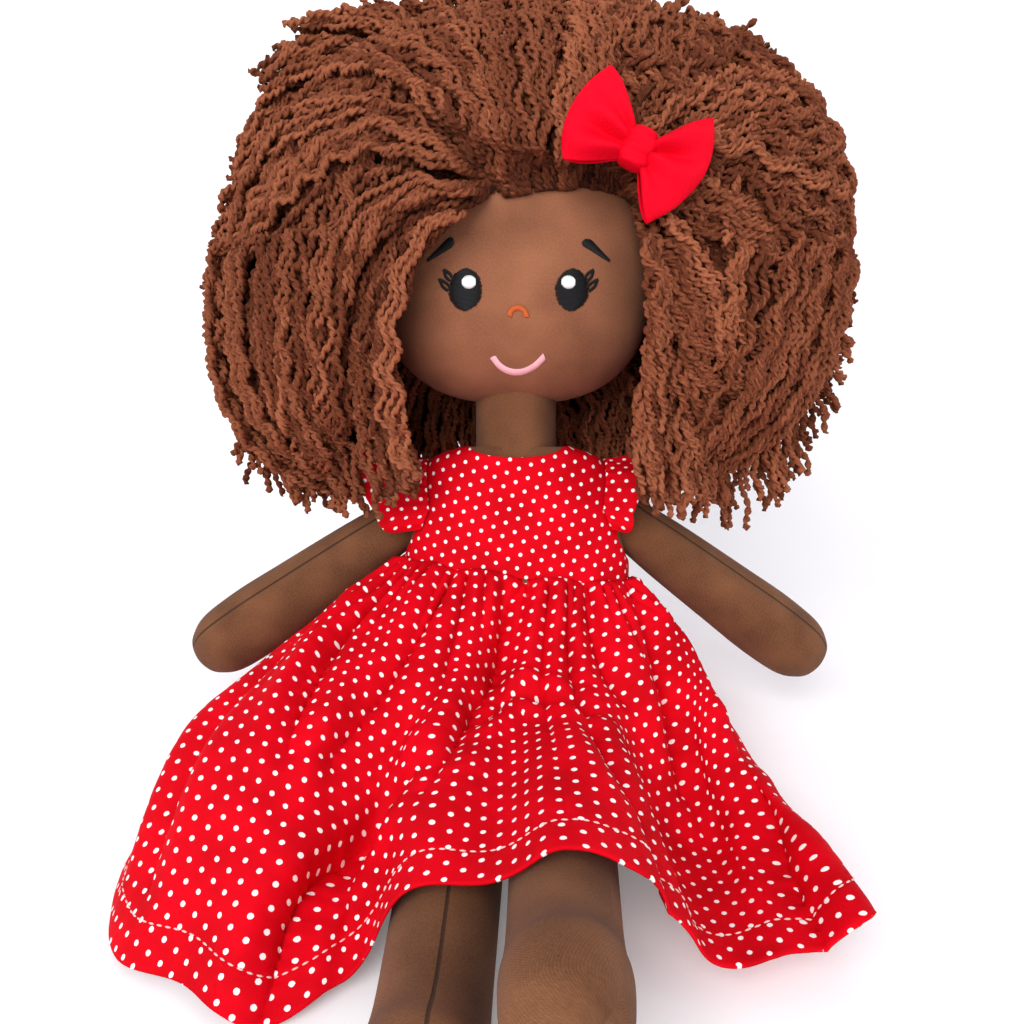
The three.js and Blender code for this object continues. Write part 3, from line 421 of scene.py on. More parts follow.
# Along the arm: the share of its length, of the root's radius and of the hand's
ARM_SHARES = [
    [-0.079, 0.5, 0.0], [-0.053, 0.8, 0.0], [0.0, 1.0, 0.0], [0.1, 0.92, 0.08],
    [0.28, 0.55, 0.45], [0.55, 0.2, 0.8], [0.76, 0.0, 1.0], [0.88, 0.0, 0.95],
    [0.96, 0.0, 0.7], [0.99, 0.0, 0.42], [1.0, 0.0, 0.1],
]
for side, name, length, droop, seam_column in (-1, "right", 139, 34, 82), (1, "left", 135, 36.5, 60):
    rows = through(ARM_SHARES, np.linspace(0, 1, 90))
    radius = rows[:, 1] * ARM["root"] + rows[:, 2] * ARM["hand"]
    x, y = oval(96, radius, radius * ARM["flat"], 2)
    along = np.repeat(rows[:, :1] * length, 96, 1)
    turn = side * math.radians(90 + droop)
    px = side * ARM["across"] + x * math.cos(turn) + along * math.sin(turn)
    pw = ARM["height"] - x * math.sin(turn) + along * math.cos(turn)
    arm = stuffed("arm_" + name, lean_back(np.stack([px, y, pw], -1)), cotton_limbs, seam=seam_column)
    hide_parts("arm_skin_" + name, "arm_filling_" + name)
    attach(arm, "arm_" + name)


# Legs: each is a long stuffed tube of the same cotton, pressed flat where it is sewn to the seat,
# full at the knee, with the foot turned up. Its seam runs along the top of the right leg and low
# along the inner side of the left one.
LEG = {"width": 39, "height": 38, "length": 194, "across": 21, "forward": 31, "above": 6}
# Along the leg: the share of its length, width and height, and how far its middle is raised
LEG_SHARES = [
    [-0.016, 0.84, 0.11, 0.0], [0.0, 0.88, 0.175, 0.0], [0.035, 0.95, 0.32, 0.04], [0.08, 0.99, 0.62, 0.2],
    [0.19, 1.0, 0.98, 0.68], [0.42, 0.95, 0.96, 0.66], [0.63, 0.89, 0.9, 0.58], [0.79, 0.85, 0.86, 0.54],
    [0.85, 0.86, 0.93, 0.6], [0.91, 0.88, 1.06, 0.74], [0.96, 0.82, 0.97, 0.72], [0.985, 0.62, 0.72, 0.7],
    [0.997, 0.3, 0.36, 0.68], [1.0, 0.06, 0.08, 0.68],
]
for side, name, lift, turn, seam_column in (-1, "right", 0.4, -1.2, 22), (1, "left", 7.8, 3.2, 58):
    rows = through(LEG_SHARES, np.linspace(0, 1, 110))
    x, up = oval(96, rows[:, 1] * LEG["width"] / 2, rows[:, 2] * LEG["height"] / 2, 2)
    up = up + rows[:, 3:] * LEG["height"] / 2
    along = np.repeat(rows[:, :1] * LEG["length"], 96, 1)
    lift, turn = math.radians(lift), -side * math.radians(turn)
    forward = -along * math.cos(lift) + up * math.sin(lift)
    up = along * math.sin(lift) + up * math.cos(lift)
    px = side * LEG["across"] + x * math.cos(turn) - forward * math.sin(turn)
    py = -LEG["forward"] + x * math.sin(turn) + forward * math.cos(turn)
    pz = np.maximum(LEG["above"] + up, 0.0)
    leg = stuffed("leg_" + name, np.stack([px, py, pz], -1), cotton_limbs, seam=seam_column)
    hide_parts("leg_skin_" + name, "leg_filling_" + name)
    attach(leg, "leg_" + name)


# Bodice: the top of the dress, cut from red cotton poplin with white pin dots as one front panel
# and two back panels, close fitting and without sleeves of its own. Neck and armholes are bagged
# out, so their edges are clean folds.
def dotted_poplin(name, colour, dark, slant, columns=10.2, rows=6.4, hem=None):
    """Printed cotton poplin: matt with a slight sheen, dots 1.95 mm across in a staggered grid
    whose sides lean by slant. Its threads are 0.3 mm apart and are drawn at 0.8 mm. With hem, a
    stitched line runs that far above the sheet's edge."""
    material, tree, shader = new_material(name)
    place = add(tree, "ShaderNodeUVMap", uv_map="cloth").outputs[0]
    turned = {"Vector": place, "Angle": math.radians(slant)}
    turned = add(tree, "ShaderNodeVectorRotate", turned, rotation_type="Z_AXIS")
    distances = []
    for shift in (0.0, 0.5):
        cells = {0: turned.outputs[0], 1: (1 / columns, 1 / rows, 0), 2: (shift, shift, 0)}
        cells = add(tree, "ShaderNodeVectorMath", cells, operation="MULTIPLY_ADD")
        part = add(tree, "ShaderNodeVectorMath", {0: cells.outputs[0]}, operation="FRACTION")
        away = {0: part.outputs[0], 1: (0.5, 0.5, 0)}
        away = add(tree, "ShaderNodeVectorMath", away, operation="SUBTRACT")
        away = {0: away.outputs[0], 1: (columns, rows, 0)}
        away = add(tree, "ShaderNodeVectorMath", away, operation="MULTIPLY")
        length = add(tree, "ShaderNodeVectorMath", {0: away.outputs[0]}, operation="LENGTH")
        distances.append(length.outputs["Value"])
    nearest = add(tree, "ShaderNodeMath", {0: distances[0], 1: distances[1]}, operation="MINIMUM")
    rough_edge = add(tree, "ShaderNodeTexNoise", {"Vector": place, "Scale": 1.6, "Detail": 2.0})
    ragged = {0: rough_edge.outputs[0], 1: 0.3, 2: nearest.outputs[0]}
    ragged = add(tree, "ShaderNodeMath", ragged, operation="MULTIPLY_ADD")
    dot = {"Value": ragged.outputs[0], "From Min": 0.96, "From Max": 1.12, "To Min": 1.0, "To Max": 0.0}
    dot = add(tree, "ShaderNodeMapRange", dot, interpolation_type="SMOOTHSTEP")
    height = weave = thread_grain(tree, add(tree, "ShaderNodeSeparateXYZ", {0: place}).outputs, 0.8)
    clouds = add(tree, "ShaderNodeTexNoise", {"Vector": place, "Scale": 0.05, "Detail": 3.0})
    thread = {0: weave, 1: 0.06, 2: clouds.outputs[0]}
    thread = add(tree, "ShaderNodeMath", thread, operation="MULTIPLY_ADD")
    tone = add(tree, "ShaderNodeMapRange", {"Value": thread.outputs[0], "From Min": 0.3, "From Max": 0.7})
    red = mixed(tree, tone.outputs[0], dark, colour)
    tree.links.new(mixed(tree, dot.outputs[0], red, "#fbf3f2"), shader.inputs["Base Color"])
    if hem is not None:
        above = add(tree, "ShaderNodeAttribute", attribute_name="above_hem").outputs["Fac"]
        off = add(tree, "ShaderNodeMath", {0: above, 1: hem}, operation="SUBTRACT")
        near = add(tree, "ShaderNodeMath", {0: off.outputs[0]}, operation="ABSOLUTE")
        dent = {"Value": near.outputs[0], "From Max": 1.3, "To Min": -6.0, "To Max": 0.0}
        dent = add(tree, "ShaderNodeMapRange", dent, interpolation_type="SMOOTHSTEP")
        height = add(tree, "ShaderNodeMath", {0: dent.outputs[0], 1: weave}, operation="ADD").outputs[0]
    relief(tree, height, strength=0.25, distance=0.0002)
    shader.inputs["Roughness"].default_value = 0.78
    shader.inputs["Specular IOR Level"].default_value = 0.08
    return material


def woven(name, places, uv, material, thickness=0.9):
    """A sheet of cloth from a grid of places [down, across, 3], with its thickness."""
    down, across = places.shape[:2]
    i, j = np.meshgrid(np.arange(down - 1), np.arange(across - 1), indexing="ij")
    corner = i * across + j
    quads = np.stack([corner, corner + across, corner + across + 1, corner + 1], -1).reshape(-1, 4)
    piece = placed(name, places.reshape(-1, 3), quads, material, uv.reshape(-1, 2)[quads.ravel()])
    cloth = piece.modifiers.new("thickness", "SOLIDIFY")
    cloth.thickness = thickness * 0.001
    cloth.offset = 0.0
    return piece


BODICE = {"waist": 82.5, "tilt": math.tan(math.radians(6)), "stand": 1.05, "top": 142, "shoulder": 131.8}
NECKLINE = {"half": 24.5, "front": 137, "round": 9}
ARMHOLE = {
    "inner": 12.85, "start": 36, "outer": 29.75, "end": 60,  # a cone: its radius at two places along x
    "top": 131.6, "foot": 88.5, "step": 3.5,  # its foot is a step lower on the left than the middle
}


def around_body(angle, height, stand=BODICE["stand"]):
    """Places on the dress round the body, from the doll's left side towards its back."""
    width, depth = torso_halves(height, stand)
    c, s = np.cos(angle), np.sin(angle)
    power = 2 / TORSO["squareness"]
    x, y = width * np.sign(c) * np.abs(c) ** power, depth * np.sign(s) * np.abs(s) ** power
    return np.stack([x, y, height + 0 * c], -1)


def girth(angle, height, middle, count=40):
    """How far round the body from its middle line an angle is, along the cloth."""
    t = np.linspace(0, 1, count)[:, None]
    places = around_body(middle + (angle - middle) * t, np.broadcast_to(height, (count, len(angle))))
    return np.linalg.norm(np.diff(places, axis=0), axis=2).sum(0) * np.sign(angle - middle)


def bodice_half(side, face, columns=90, rows=64):
    """One half of the front (face -1) or of the back (face 1), from its middle to the side seam."""
    middle = math.radians(90) * face
    t = np.linspace(0, 0.745, 30)
    dip = NECKLINE["front"] + NECKLINE["round"] * (t * t if face < 0 else t**6)
    edge = np.stack([NECKLINE["half"] * (2 * t - t * t), dip], -1)
    neck_edge = []
    for x, height in edge:
        width, _ = torso_halves(height, BODICE["stand"])
        share = min(1.0, x / width) ** (TORSO["squareness"] / 2)
        neck_edge.append([math.acos(min(1.0, share)), min(height, BODICE["top"])])
    scye = []
    for height in np.linspace(ARMHOLE["top"], ARMHOLE["foot"] - side * ARMHOLE["step"], 44):
        low, high = 0.0, math.pi / 2
        for _ in range(30):
            angle = (low + high) / 2
            x, y, _w = around_body(np.array([angle]), np.array([height]))[0]
            share = (x - ARMHOLE["start"]) / (ARMHOLE["end"] - ARMHOLE["start"])
            reach = ARMHOLE["inner"] + share * (ARMHOLE["outer"] - ARMHOLE["inner"])
            inside = x > ARMHOLE["start"] and math.hypot(y, height - ARM["height"]) < reach
            low, high = (angle, high) if inside else (low, angle)
        scye.append([(low + high) / 2, height])
    shoulder = [[0.04, w] for w in np.linspace(BODICE["top"], BODICE["shoulder"], 14)]
    top = np.array(neck_edge + shoulder + scye)
    steps = np.linalg.norm(np.diff(top * [34, 1], axis=0), axis=1)
    far = np.concatenate([[0], np.cumsum(steps)])
    share = np.linspace(0, 1, columns)
    top = np.stack([np.interp(share * far[-1], far, top[:, k]) for k in (0, 1)], -1)
    bottom_angle = math.pi / 2 * (1 - share)
    reach = torso_halves(BODICE["waist"])[0] * np.sin(math.pi / 2 - bottom_angle) ** 0.8
    bottom = BODICE["waist"] - 1.6 - side * reach * BODICE["tilt"]
    down = np.linspace(0, 1, rows)[:, None]
    angle = top[:, 0] + (bottom_angle - top[:, 0]) * down
    height = top[:, 1] + (bottom - top[:, 1]) * down
    angle = (angle if side > 0 else math.pi - angle) * face
    places = around_body(angle, height)
    flat = np.stack([girth(a, h, middle) for a, h in zip(angle, height)])
    return places, np.stack([flat, height], -1)


poplin_bodice = dotted_poplin("red_dotted_poplin_bodice", "#e00018", "#be0010", slant=14)
left, left_flat = bodice_half(1, -1)
right, right_flat = bodice_half(-1, -1)
front = np.concatenate([right[:, ::-1], left[:, 1:]], axis=1)
front_flat = np.concatenate([right_flat[:, ::-1], left_flat[:, 1:]], axis=1)
panels = {"bodice_front_panel": (front, front_flat, "bodice_front", (0.118, 0.062))}
for side, name in (-1, "right"), (1, "left"):
    half, half_flat = bodice_half(side, 1)
    order = slice(None, None, -side)
    panels["bodice_back_panel_" + name] = (
        half[:, order], half_flat[:, order], "bodice_back_" + name, (0.06, 0.062)
    )
for name, (places, flat, node, size) in panels.items():
    low = np.exp(-((places[..., 2] - 84) / 9) ** 2)  # it ripples only near the waist seam
    ripple = 0.35 * np.sin(flat[..., 0] * 0.35 + 0.09 * flat[..., 1]) * low
    places = places * (1 + (ripple / 40)[..., None] * [1, 1, 0])
    panel = woven(name, lean_back(places), flat, poplin_bodice)
    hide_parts(node)
    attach(panel, "torso")


# Sleeves: flutter frills of the same poplin, gathered and sewn into the armholes. They stand out
# over the shoulders and end under the arms in nothing.
SLEEVE = {"start": 41.5, "upper": 2.5, "lower": 10, "radius": 21.6, "rise": 1.4, "half": 118, "fade": 0.3}
PRINT_RADIUS = 27  # the frill is cut flat, and its print is laid out at this radius
poplin_sleeve = dotted_poplin("red_dotted_poplin_sleeve", "#e00018", "#be0010", slant=0)
for side, name, reach in (-1, "right", 34), (1, "left", 19):
    u, v = np.meshgrid(np.linspace(0.012, 0.988, 200), np.linspace(0, 1, 40))
    turn = 2 * u - 1
    angle = np.radians(turn * SLEEVE["half"])
    fullness = v * np.cos(math.pi / 2 * turn) ** SLEEVE["fade"]
    top = np.abs(np.cos(angle))
    outward = np.where(np.cos(angle) > 0, SLEEVE["upper"], SLEEVE["lower"])
    ruffle = 1.7 * fullness * np.cos(7 * angle + 0.6 * np.sin(3 * angle))
    ruffle += 0.5 * fullness * np.cos(17 * angle + side)
    gather = 0.45 * np.cos(34 * angle) * np.exp(-v * 5)
    radius = SLEEVE["radius"] + SLEEVE["rise"] * top + 4 * fullness + ruffle + gather
    out = SLEEVE["start"] + outward * top + reach * fullness
    height = ARM["height"] + radius * np.cos(angle) - 2 * fullness
    places = np.stack([side * out, side * radius * np.sin(angle), height], -1)
    flat = np.stack([angle * PRINT_RADIUS * side, -reach * fullness], -1)
    frill = woven("sleeve_frill_" + name, lean_back(places), flat, poplin_sleeve)
    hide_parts("sleeve_" + name)
    sewn = lean_back([side * 44, 0, ARM["height"]]) * 0.001
    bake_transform(frill)


# Dress buttons: two domed red plastic buttons that close the back. Their shape comes from the
# frame, and they get a moulded, slightly pearly finish.
pearl, tree, shader = new_material("moulded_red_polyester_button")
place = add(tree, "ShaderNodeTexCoord").outputs["Object"]
swirl = add(tree, "ShaderNodeTexNoise", {"Vector": place, "Scale": 420.0, "Distortion": 1.5})
tree.links.new(mixed(tree, swirl.outputs[0], "#b80a24", "#e8324a"), shader.inputs["Base Color"])
shader.inputs["Roughness"].default_value = 0.28
for name in "dress_button_upper", "dress_button_lower":
    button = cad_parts[name]
    button.data.materials.clear()
    button.data.materials.append(pearl)


# Skirt: two panels of the poplin, each gathered into the waist seam in small pleats that open out
# into a few large folds. The front panel lies over the legs and under the left arm, and runs out to
# both sides; both end in a hem turned up 13.5 mm and stitched.
SKIRT = {
    "spread": 150, "reach": 171, "rise": 90,  # these scale the tables of folds
    "pleats": 3.7,  # the depth of the small pleats below the waist
    "creases": 1.5,  # scales the depths in the tables of creases
}
# Round each panel: how far across, forward and up the cloth is at three places down its fall
FRONT_FOLDS = [
    [[-0.57, -0.02, 0.5], [-0.82, 0.14, 0.25], [-1.0, 0.36, 0.02]],
    [[-0.66, 0.15, 0.67], [-0.89, 0.39, 0.42], [-1.0, 0.65, 0.02]],
    [[-0.62, 0.25, 0.73], [-0.81, 0.56, 0.49], [-0.87, 0.88, 0.02]],
    [[-0.54, 0.32, 0.73], [-0.68, 0.63, 0.58], [-0.69, 0.96, 0.06]],
    [[-0.43, 0.37, 0.7], [-0.52, 0.7, 0.42], [-0.52, 1.03, 0.02]],
    [[-0.3, 0.4, 0.66], [-0.37, 0.7, 0.18], [-0.36, 0.96, 0.06]],
    [[-0.17, 0.35, 0.6], [-0.2, 0.68, 0.5], [-0.22, 0.95, 0.42]],
    [[-0.04, 0.3, 0.55], [-0.05, 0.66, 0.5], [-0.05, 0.97, 0.5]],
    [[0.08, 0.33, 0.55], [0.09, 0.66, 0.6], [0.09, 0.99, 0.64]],
    [[0.2, 0.33, 0.55], [0.23, 0.64, 0.54], [0.24, 0.98, 0.51]],
    [[0.32, 0.29, 0.53], [0.38, 0.6, 0.16], [0.4, 0.98, 0.19]],
    [[0.44, 0.2, 0.53], [0.53, 0.54, 0.1], [0.56, 0.97, 0.19]],
    [[0.53, 0.08, 0.55], [0.63, 0.47, 0.3], [0.71, 0.96, 0.33]],
    [[0.54, -0.04, 0.46], [0.67, 0.33, 0.12], [0.75, 0.69, 0.03]],
    [[0.54, -0.12, 0.42], [0.66, 0.11, 0.09], [0.73, 0.35, 0.02]],
]
BACK_FOLDS = [
    [[0.54, -0.12, 0.42], [0.66, 0.11, 0.09], [0.73, 0.35, 0.02]],
    [[0.51, -0.22, 0.4], [0.65, -0.12, 0.09], [0.71, 0.03, 0.02]],
    [[0.43, -0.34, 0.38], [0.6, -0.36, 0.09], [0.67, -0.3, 0.02]],
    [[0.29, -0.42, 0.38], [0.41, -0.54, 0.11], [0.47, -0.61, 0.02]],
    [[0.09, -0.44, 0.38], [0.13, -0.63, 0.11], [0.15, -0.75, 0.02]],
    [[-0.11, -0.44, 0.38], [-0.17, -0.62, 0.11], [-0.23, -0.74, 0.02]],
    [[-0.31, -0.39, 0.4], [-0.47, -0.54, 0.11], [-0.57, -0.63, 0.02]],
    [[-0.44, -0.31, 0.4], [-0.66, -0.35, 0.13], [-0.83, -0.38, 0.02]],
    [[-0.52, -0.18, 0.44], [-0.78, -0.12, 0.16], [-0.97, -0.02, 0.02]],
    [[-0.57, -0.02, 0.5], [-0.82, 0.14, 0.25], [-1.0, 0.36, 0.02]],
]

# The long folds of each panel: [share across, share down] along the fold, its depth and its width
FRONT_CREASES = [
    ([[0.512, 0.0], [0.496, 0.1], [0.486, 0.32], [0.461, 0.445], [0.444, 0.57], [0.424, 0.7]], 5.0, 8),
    ([[0.41, 0.6], [0.366, 0.64], [0.333, 0.72], [0.306, 0.83], [0.288, 1.0]], 5.0, 8),
    ([[0.83, 0.05], [0.789, 0.21], [0.774, 0.33], [0.77, 0.43], [0.755, 0.58]], 4.5, 7),
    ([[0.87, 0.6], [0.845, 0.73], [0.822, 0.84], [0.81, 1.0]], 3.5, 8),
    ([[0.476, 0.48], [0.529, 0.405], [0.566, 0.4], [0.6, 0.43], [0.64, 0.47]], 4.0, 6),
    ([[0.2, 0.03], [0.21, 0.2], [0.24, 0.42], [0.26, 0.6]], 3.5, 6),
    ([[0.36, 0.02], [0.35, 0.2], [0.33, 0.38], [0.3, 0.55]], 3.5, 6),
    ([[0.12, 0.25], [0.13, 0.45], [0.14, 0.7], [0.15, 0.9]], 3.0, 8),
    ([[0.66, 0.02], [0.665, 0.16], [0.68, 0.3], [0.7, 0.38]], 3.2, 5),
    ([[0.92, 0.1], [0.9, 0.3], [0.88, 0.5], [0.88, 0.65]], 3.0, 7),
    ([[0.62, 0.55], [0.64, 0.7], [0.66, 0.85], [0.67, 1.0]], 2.2, 7),
]
BACK_CREASES = [
    ([[0.3, 0.02], [0.29, 0.3], [0.27, 0.6], [0.26, 0.9]], 3.5, 8),
    ([[0.5, 0.02], [0.52, 0.3], [0.53, 0.65], [0.54, 1.0]], 3.5, 9),
    ([[0.72, 0.02], [0.73, 0.3], [0.76, 0.6], [0.78, 0.9]], 3.5, 8),
]


def smooth(value):
    """From 0 to 1 with a soft start and end."""
    value = np.clip(value, 0, 1)
    return value * value * (3 - 2 * value)


def noise(u, v, wide, tall, seed):
    """Smooth seeded ups and downs from -1 to 1 over the flat cloth."""
    rng = np.random.default_rng(seed)
    grid = rng.uniform(-1, 1, (64, 64))
    x, y = np.asarray(u) / wide + 31.0, np.asarray(v) / tall + 31.0
    i, j = np.floor(x).astype(int), np.floor(y).astype(int)
    fx, fy = smooth(x - i), smooth(y - j)
    a, b = grid[i % 64, j % 64], grid[(i + 1) % 64, j % 64]
    c, d = grid[i % 64, (j + 1) % 64], grid[(i + 1) % 64, (j + 1) % 64]
    return (a * (1 - fx) + b * fx) * (1 - fy) + (c * (1 - fx) + d * fx) * fy


def skirt_base(folds, start, end, columns, rows):
    """The panel through its folds, as a grid of places [down, across, 3]."""
    scale = np.array([SKIRT["spread"], -SKIRT["reach"], SKIRT["rise"]])
    u, v = np.linspace(0.0005, 0.9995, columns), np.linspace(0, 1, rows)
    angle = np.radians(start + u * (end - start))
    waist = around_body(angle, np.full(columns, float(BODICE["waist"])))
    waist[:, 2] = BODICE["waist"] - BODICE["stand"] - waist[:, 0] * BODICE["tilt"]
    lines = [lean_back(waist)] + [through(np.array(folds)[:, k] * scale, u) for k in range(3)]
    return through(np.array(lines), v)


def out_of(grid):
    """Which way is out of the cloth at each place of a grid."""
    return unit(np.cross(np.gradient(grid, axis=0), np.gradient(grid, axis=1)))


def gathered(grid, pleats, seed, deep):
    """The relief of small pleats below the waist: sharp creases with a swell on both sides, each
    opening and fading at its own length."""
    rng = np.random.default_rng(seed)
    rows, columns = grid.shape[:2]
    u, v = np.linspace(0, 1, columns)[None, :], np.linspace(0, 1, rows)[:, None]
    width = np.linalg.norm(np.diff(grid, axis=1), axis=2).sum(1)[:, None]
    height = np.zeros((rows, columns))
    for place in (np.arange(pleats) + 0.5 + rng.uniform(-0.3, 0.3, pleats)) / pleats:
        long = rng.choice([0.14, 0.24, 0.4, 0.62], p=[0.3, 0.25, 0.25, 0.2])
        fade = rng.uniform(0.6, 1.2) * np.clip(v / 0.025, 0, 1) * np.exp(-((v / long) ** 2))
        away = np.abs(u - place - rng.uniform(-0.06, 0.06) * v) * width
        swell = 0.5 * np.exp(-(((away - 3.0 - 9 * v) / (2.2 + 7 * v)) ** 2))
        height += deep * fade * (swell - np.exp(-away / (1.0 + 3.0 * v)))
    return height


def creased(grid, line, deep, wide):
    """The relief of one long fold along a line of [share across, share down] on the panel."""
    rows, columns = grid.shape[:2]
    line = through(np.array(line, float), np.linspace(0, 1, 50))
    row = np.round(line[:, 1] * (rows - 1)).astype(int)
    spots = grid[row, np.round(line[:, 0] * (columns - 1)).astype(int)]
    away = np.linalg.norm(grid[:, :, None] - spots, axis=3)
    nearest = away.argmin(2)
    away = away.min(2)
    fade = np.sin(math.pi * np.clip((nearest + 3) / 55, 0, 1)) ** 0.5
    swell = 0.75 * np.exp(-(((away - 1.6 * wide) / wide) ** 2))
    return deep * fade * (swell - np.exp(-away / (0.42 * wide)))


def skirt_flat(grid):
    """Places on the flat cloth: across from the panel's middle, and down to 0 at the hem."""
    across = np.linalg.norm(np.diff(grid, axis=1), axis=2)
    across = np.concatenate([np.zeros((len(grid), 1)), np.cumsum(across, axis=1)], axis=1)
    across -= across[:, across.shape[1] // 2][:, None]
    down = np.linalg.norm(np.diff(grid, axis=0), axis=2)
    down = np.concatenate([np.zeros((1, grid.shape[1])), np.cumsum(down, axis=0)], axis=0)
    down = down[-1:] - down
    return np.stack([0.96 * across + 0.04 * across[-1:], down], -1)


def laid_flat(grid, tall=21, wide=71, passes=1500, ease=0.09):
    """Places on the printed cloth: a net of the sheet's points is laid out and eased until its
    threads and diagonals are as long as on the doll, so that the round dots stay round."""
    rows = np.linspace(0, len(grid) - 1, tall).round().astype(int)
    columns = np.linspace(0, grid.shape[1] - 1, wide).round().astype(int)
    net = grid[np.ix_(rows, columns)]
    flat = skirt_flat(net)
    ties = []
    for down, across in (0, 1), (1, 0), (1, 1), (1, -1), (0, 3), (3, 0):
        here = (slice(0, tall - down), slice(max(0, -across), wide - max(0, across)))
        there = (slice(down, tall), slice(max(0, across), wide - max(0, -across)))
        ties.append((here, there, np.linalg.norm(net[there] - net[here], axis=2, keepdims=True)))
    for _ in range(passes):
        move = np.zeros_like(flat)
        for here, there, length in ties:
            way = flat[there] - flat[here]
            now = np.linalg.norm(way, axis=2, keepdims=True)
            pull = way * (1 - length / np.maximum(now, 1e-6)) * ease
            move[here] += pull
            move[there] -= pull
        flat = flat + move
    maps = []
    for k in (0, 1):
        full = np.array([np.interp(np.arange(grid.shape[1]), columns, line[:, k]) for line in flat])
        maps.append(np.array([np.interp(np.arange(len(grid)), rows, line) for line in full.T]).T)
    return np.stack(maps, -1)


HEM = 13.5
poplin_skirt = dotted_poplin(
    "red_dotted_poplin_skirt", "#e00018", "#be0010", slant=0, columns=10.4, rows=6.6, hem=HEM
)
sewing_thread = embroidery_thread("pale_sewing_thread", "#f7c9c6")
skirts = []
for name, node, folds, creases, start, end, columns, rows, pleats, seed in (
    ("skirt_front_panel", "skirt_front", FRONT_FOLDS, FRONT_CREASES, 180, 360, 400, 120, 26, 3),
    ("skirt_back_panel", "skirt_back", BACK_FOLDS, BACK_CREASES, 0, 180, 300, 90, 24, 4),
):
    base = skirt_base(folds, start, end, columns, rows)
    flat = skirt_flat(base)
    out = out_of(base)
    v = np.linspace(0, 1, rows)[:, None]
    height = gathered(base, pleats, seed, SKIRT["pleats"])
    for line, deep, wide in creases:
        height += creased(base, line, SKIRT["creases"] * deep, wide)
    for deep, wide, tall, fade, number in (1.4, 30, 90, 0.3, seed), (0.35, 13, 34, 0.15, seed + 10):
        height += deep * noise(flat[..., 0], flat[..., 1], wide, tall, number) * np.clip(v / fade, 0, 1)
    u = np.linspace(0, 1, columns)
    height *= np.clip(np.minimum(u, 1 - u) / 0.02, 0, 1)  # the two panels meet in a side seam
    places = base + out * height[..., None]
    places[..., 2] = np.maximum(places[..., 2], 0.6)
    panel = woven(name, places, laid_flat(base), poplin_skirt)
    above_hem = panel.data.attributes.new("above_hem", "FLOAT", "POINT")
    above_hem.data.foreach_set("value", flat[..., 1].astype(np.float32).ravel())
    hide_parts(node)
    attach(panel, "torso")
    skirts.append((panel, places, flat))

# The hem is turned up and sewn with pale thread, whose stitches show as a thin broken line
for panel, places, flat in skirts:
    k = np.arange(flat.shape[1])
    share, above = (
        np.array([np.interp(-HEM - lift, -column, np.arange(len(flat))) for column in flat[..., 1].T])
        for lift in (0.0, 0.3)
    )
    row = np.clip(share.astype(int), 0, len(flat) - 2)
    part = (share - row)[:, None]
    out = out_of(places)[np.clip(above.astype(int), 0, len(flat) - 2), k]
    line = places[row, k] * (1 - part) + places[row + 1, k] * part + out * 0.5
    far = np.concatenate([[0], np.cumsum(np.linalg.norm(np.diff(line, axis=0), axis=1))])
    points, faces = [], []
    for start in np.arange(4, far[-1] - 6, 3.3):
        reach = np.linspace(start, start + 2.1, 5)
        spots = np.stack([np.interp(reach, far, line[:, c]) for c in range(3)], -1)
        way = unit(np.gradient(spots, axis=0))
        up = unit(np.cross(way, [0.0, 0.0, 1.0]))
        over = np.cross(way, up)
        base = len(points)
        for spot, a, b, thick in zip(spots, up, over, (0.1, 0.3, 0.34, 0.3, 0.1)):
            for turn in np.arange(6) * math.pi / 3:
                points.append(spot + (a * math.cos(turn) + b * math.sin(turn)) * thick)
        for i in range(4):
            for j in range(6):
                a, b = base + i * 6 + j, base + i * 6 + (j + 1) % 6
                faces.append([a, b, b + 6, a + 6])
        faces += [[base + j for j in range(5, -1, -1)], [base + 24 + j for j in range(6)]]
    sewn = placed("hem_stitches_" + panel.name.split("_")[1], points, faces, sewing_thread)
    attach(sewn, "torso")


# Hair: a wig of brown two-ply yarn, unravelled so that it stays wavy. The strands are sewn to the head in
# rows from the forehead to the nape, stand up from their roots and fall outwards and down in tufts, over
# the corners of the forehead and both shoulders. A dark cap inside the hair, below them, is painted shade
# that shows between the strands.
HAIR = {
    "width": 312, "height": 242, "depth": 182, "middle": 9, "centre": 233, "back": 27, "lean": 17,
    "power": 2.2, "floor": 113,
}
YARN = {
    "half": 1.9, "ply": 0.95, "waist": 0.66,  # the section of the two plies
    "pitch": 7.5,  # one turn of their twist
    "step": 1.35,  # from one ring to the next
    "top": 354, "room": 10,  # above the top a strand bends over, within the room
}

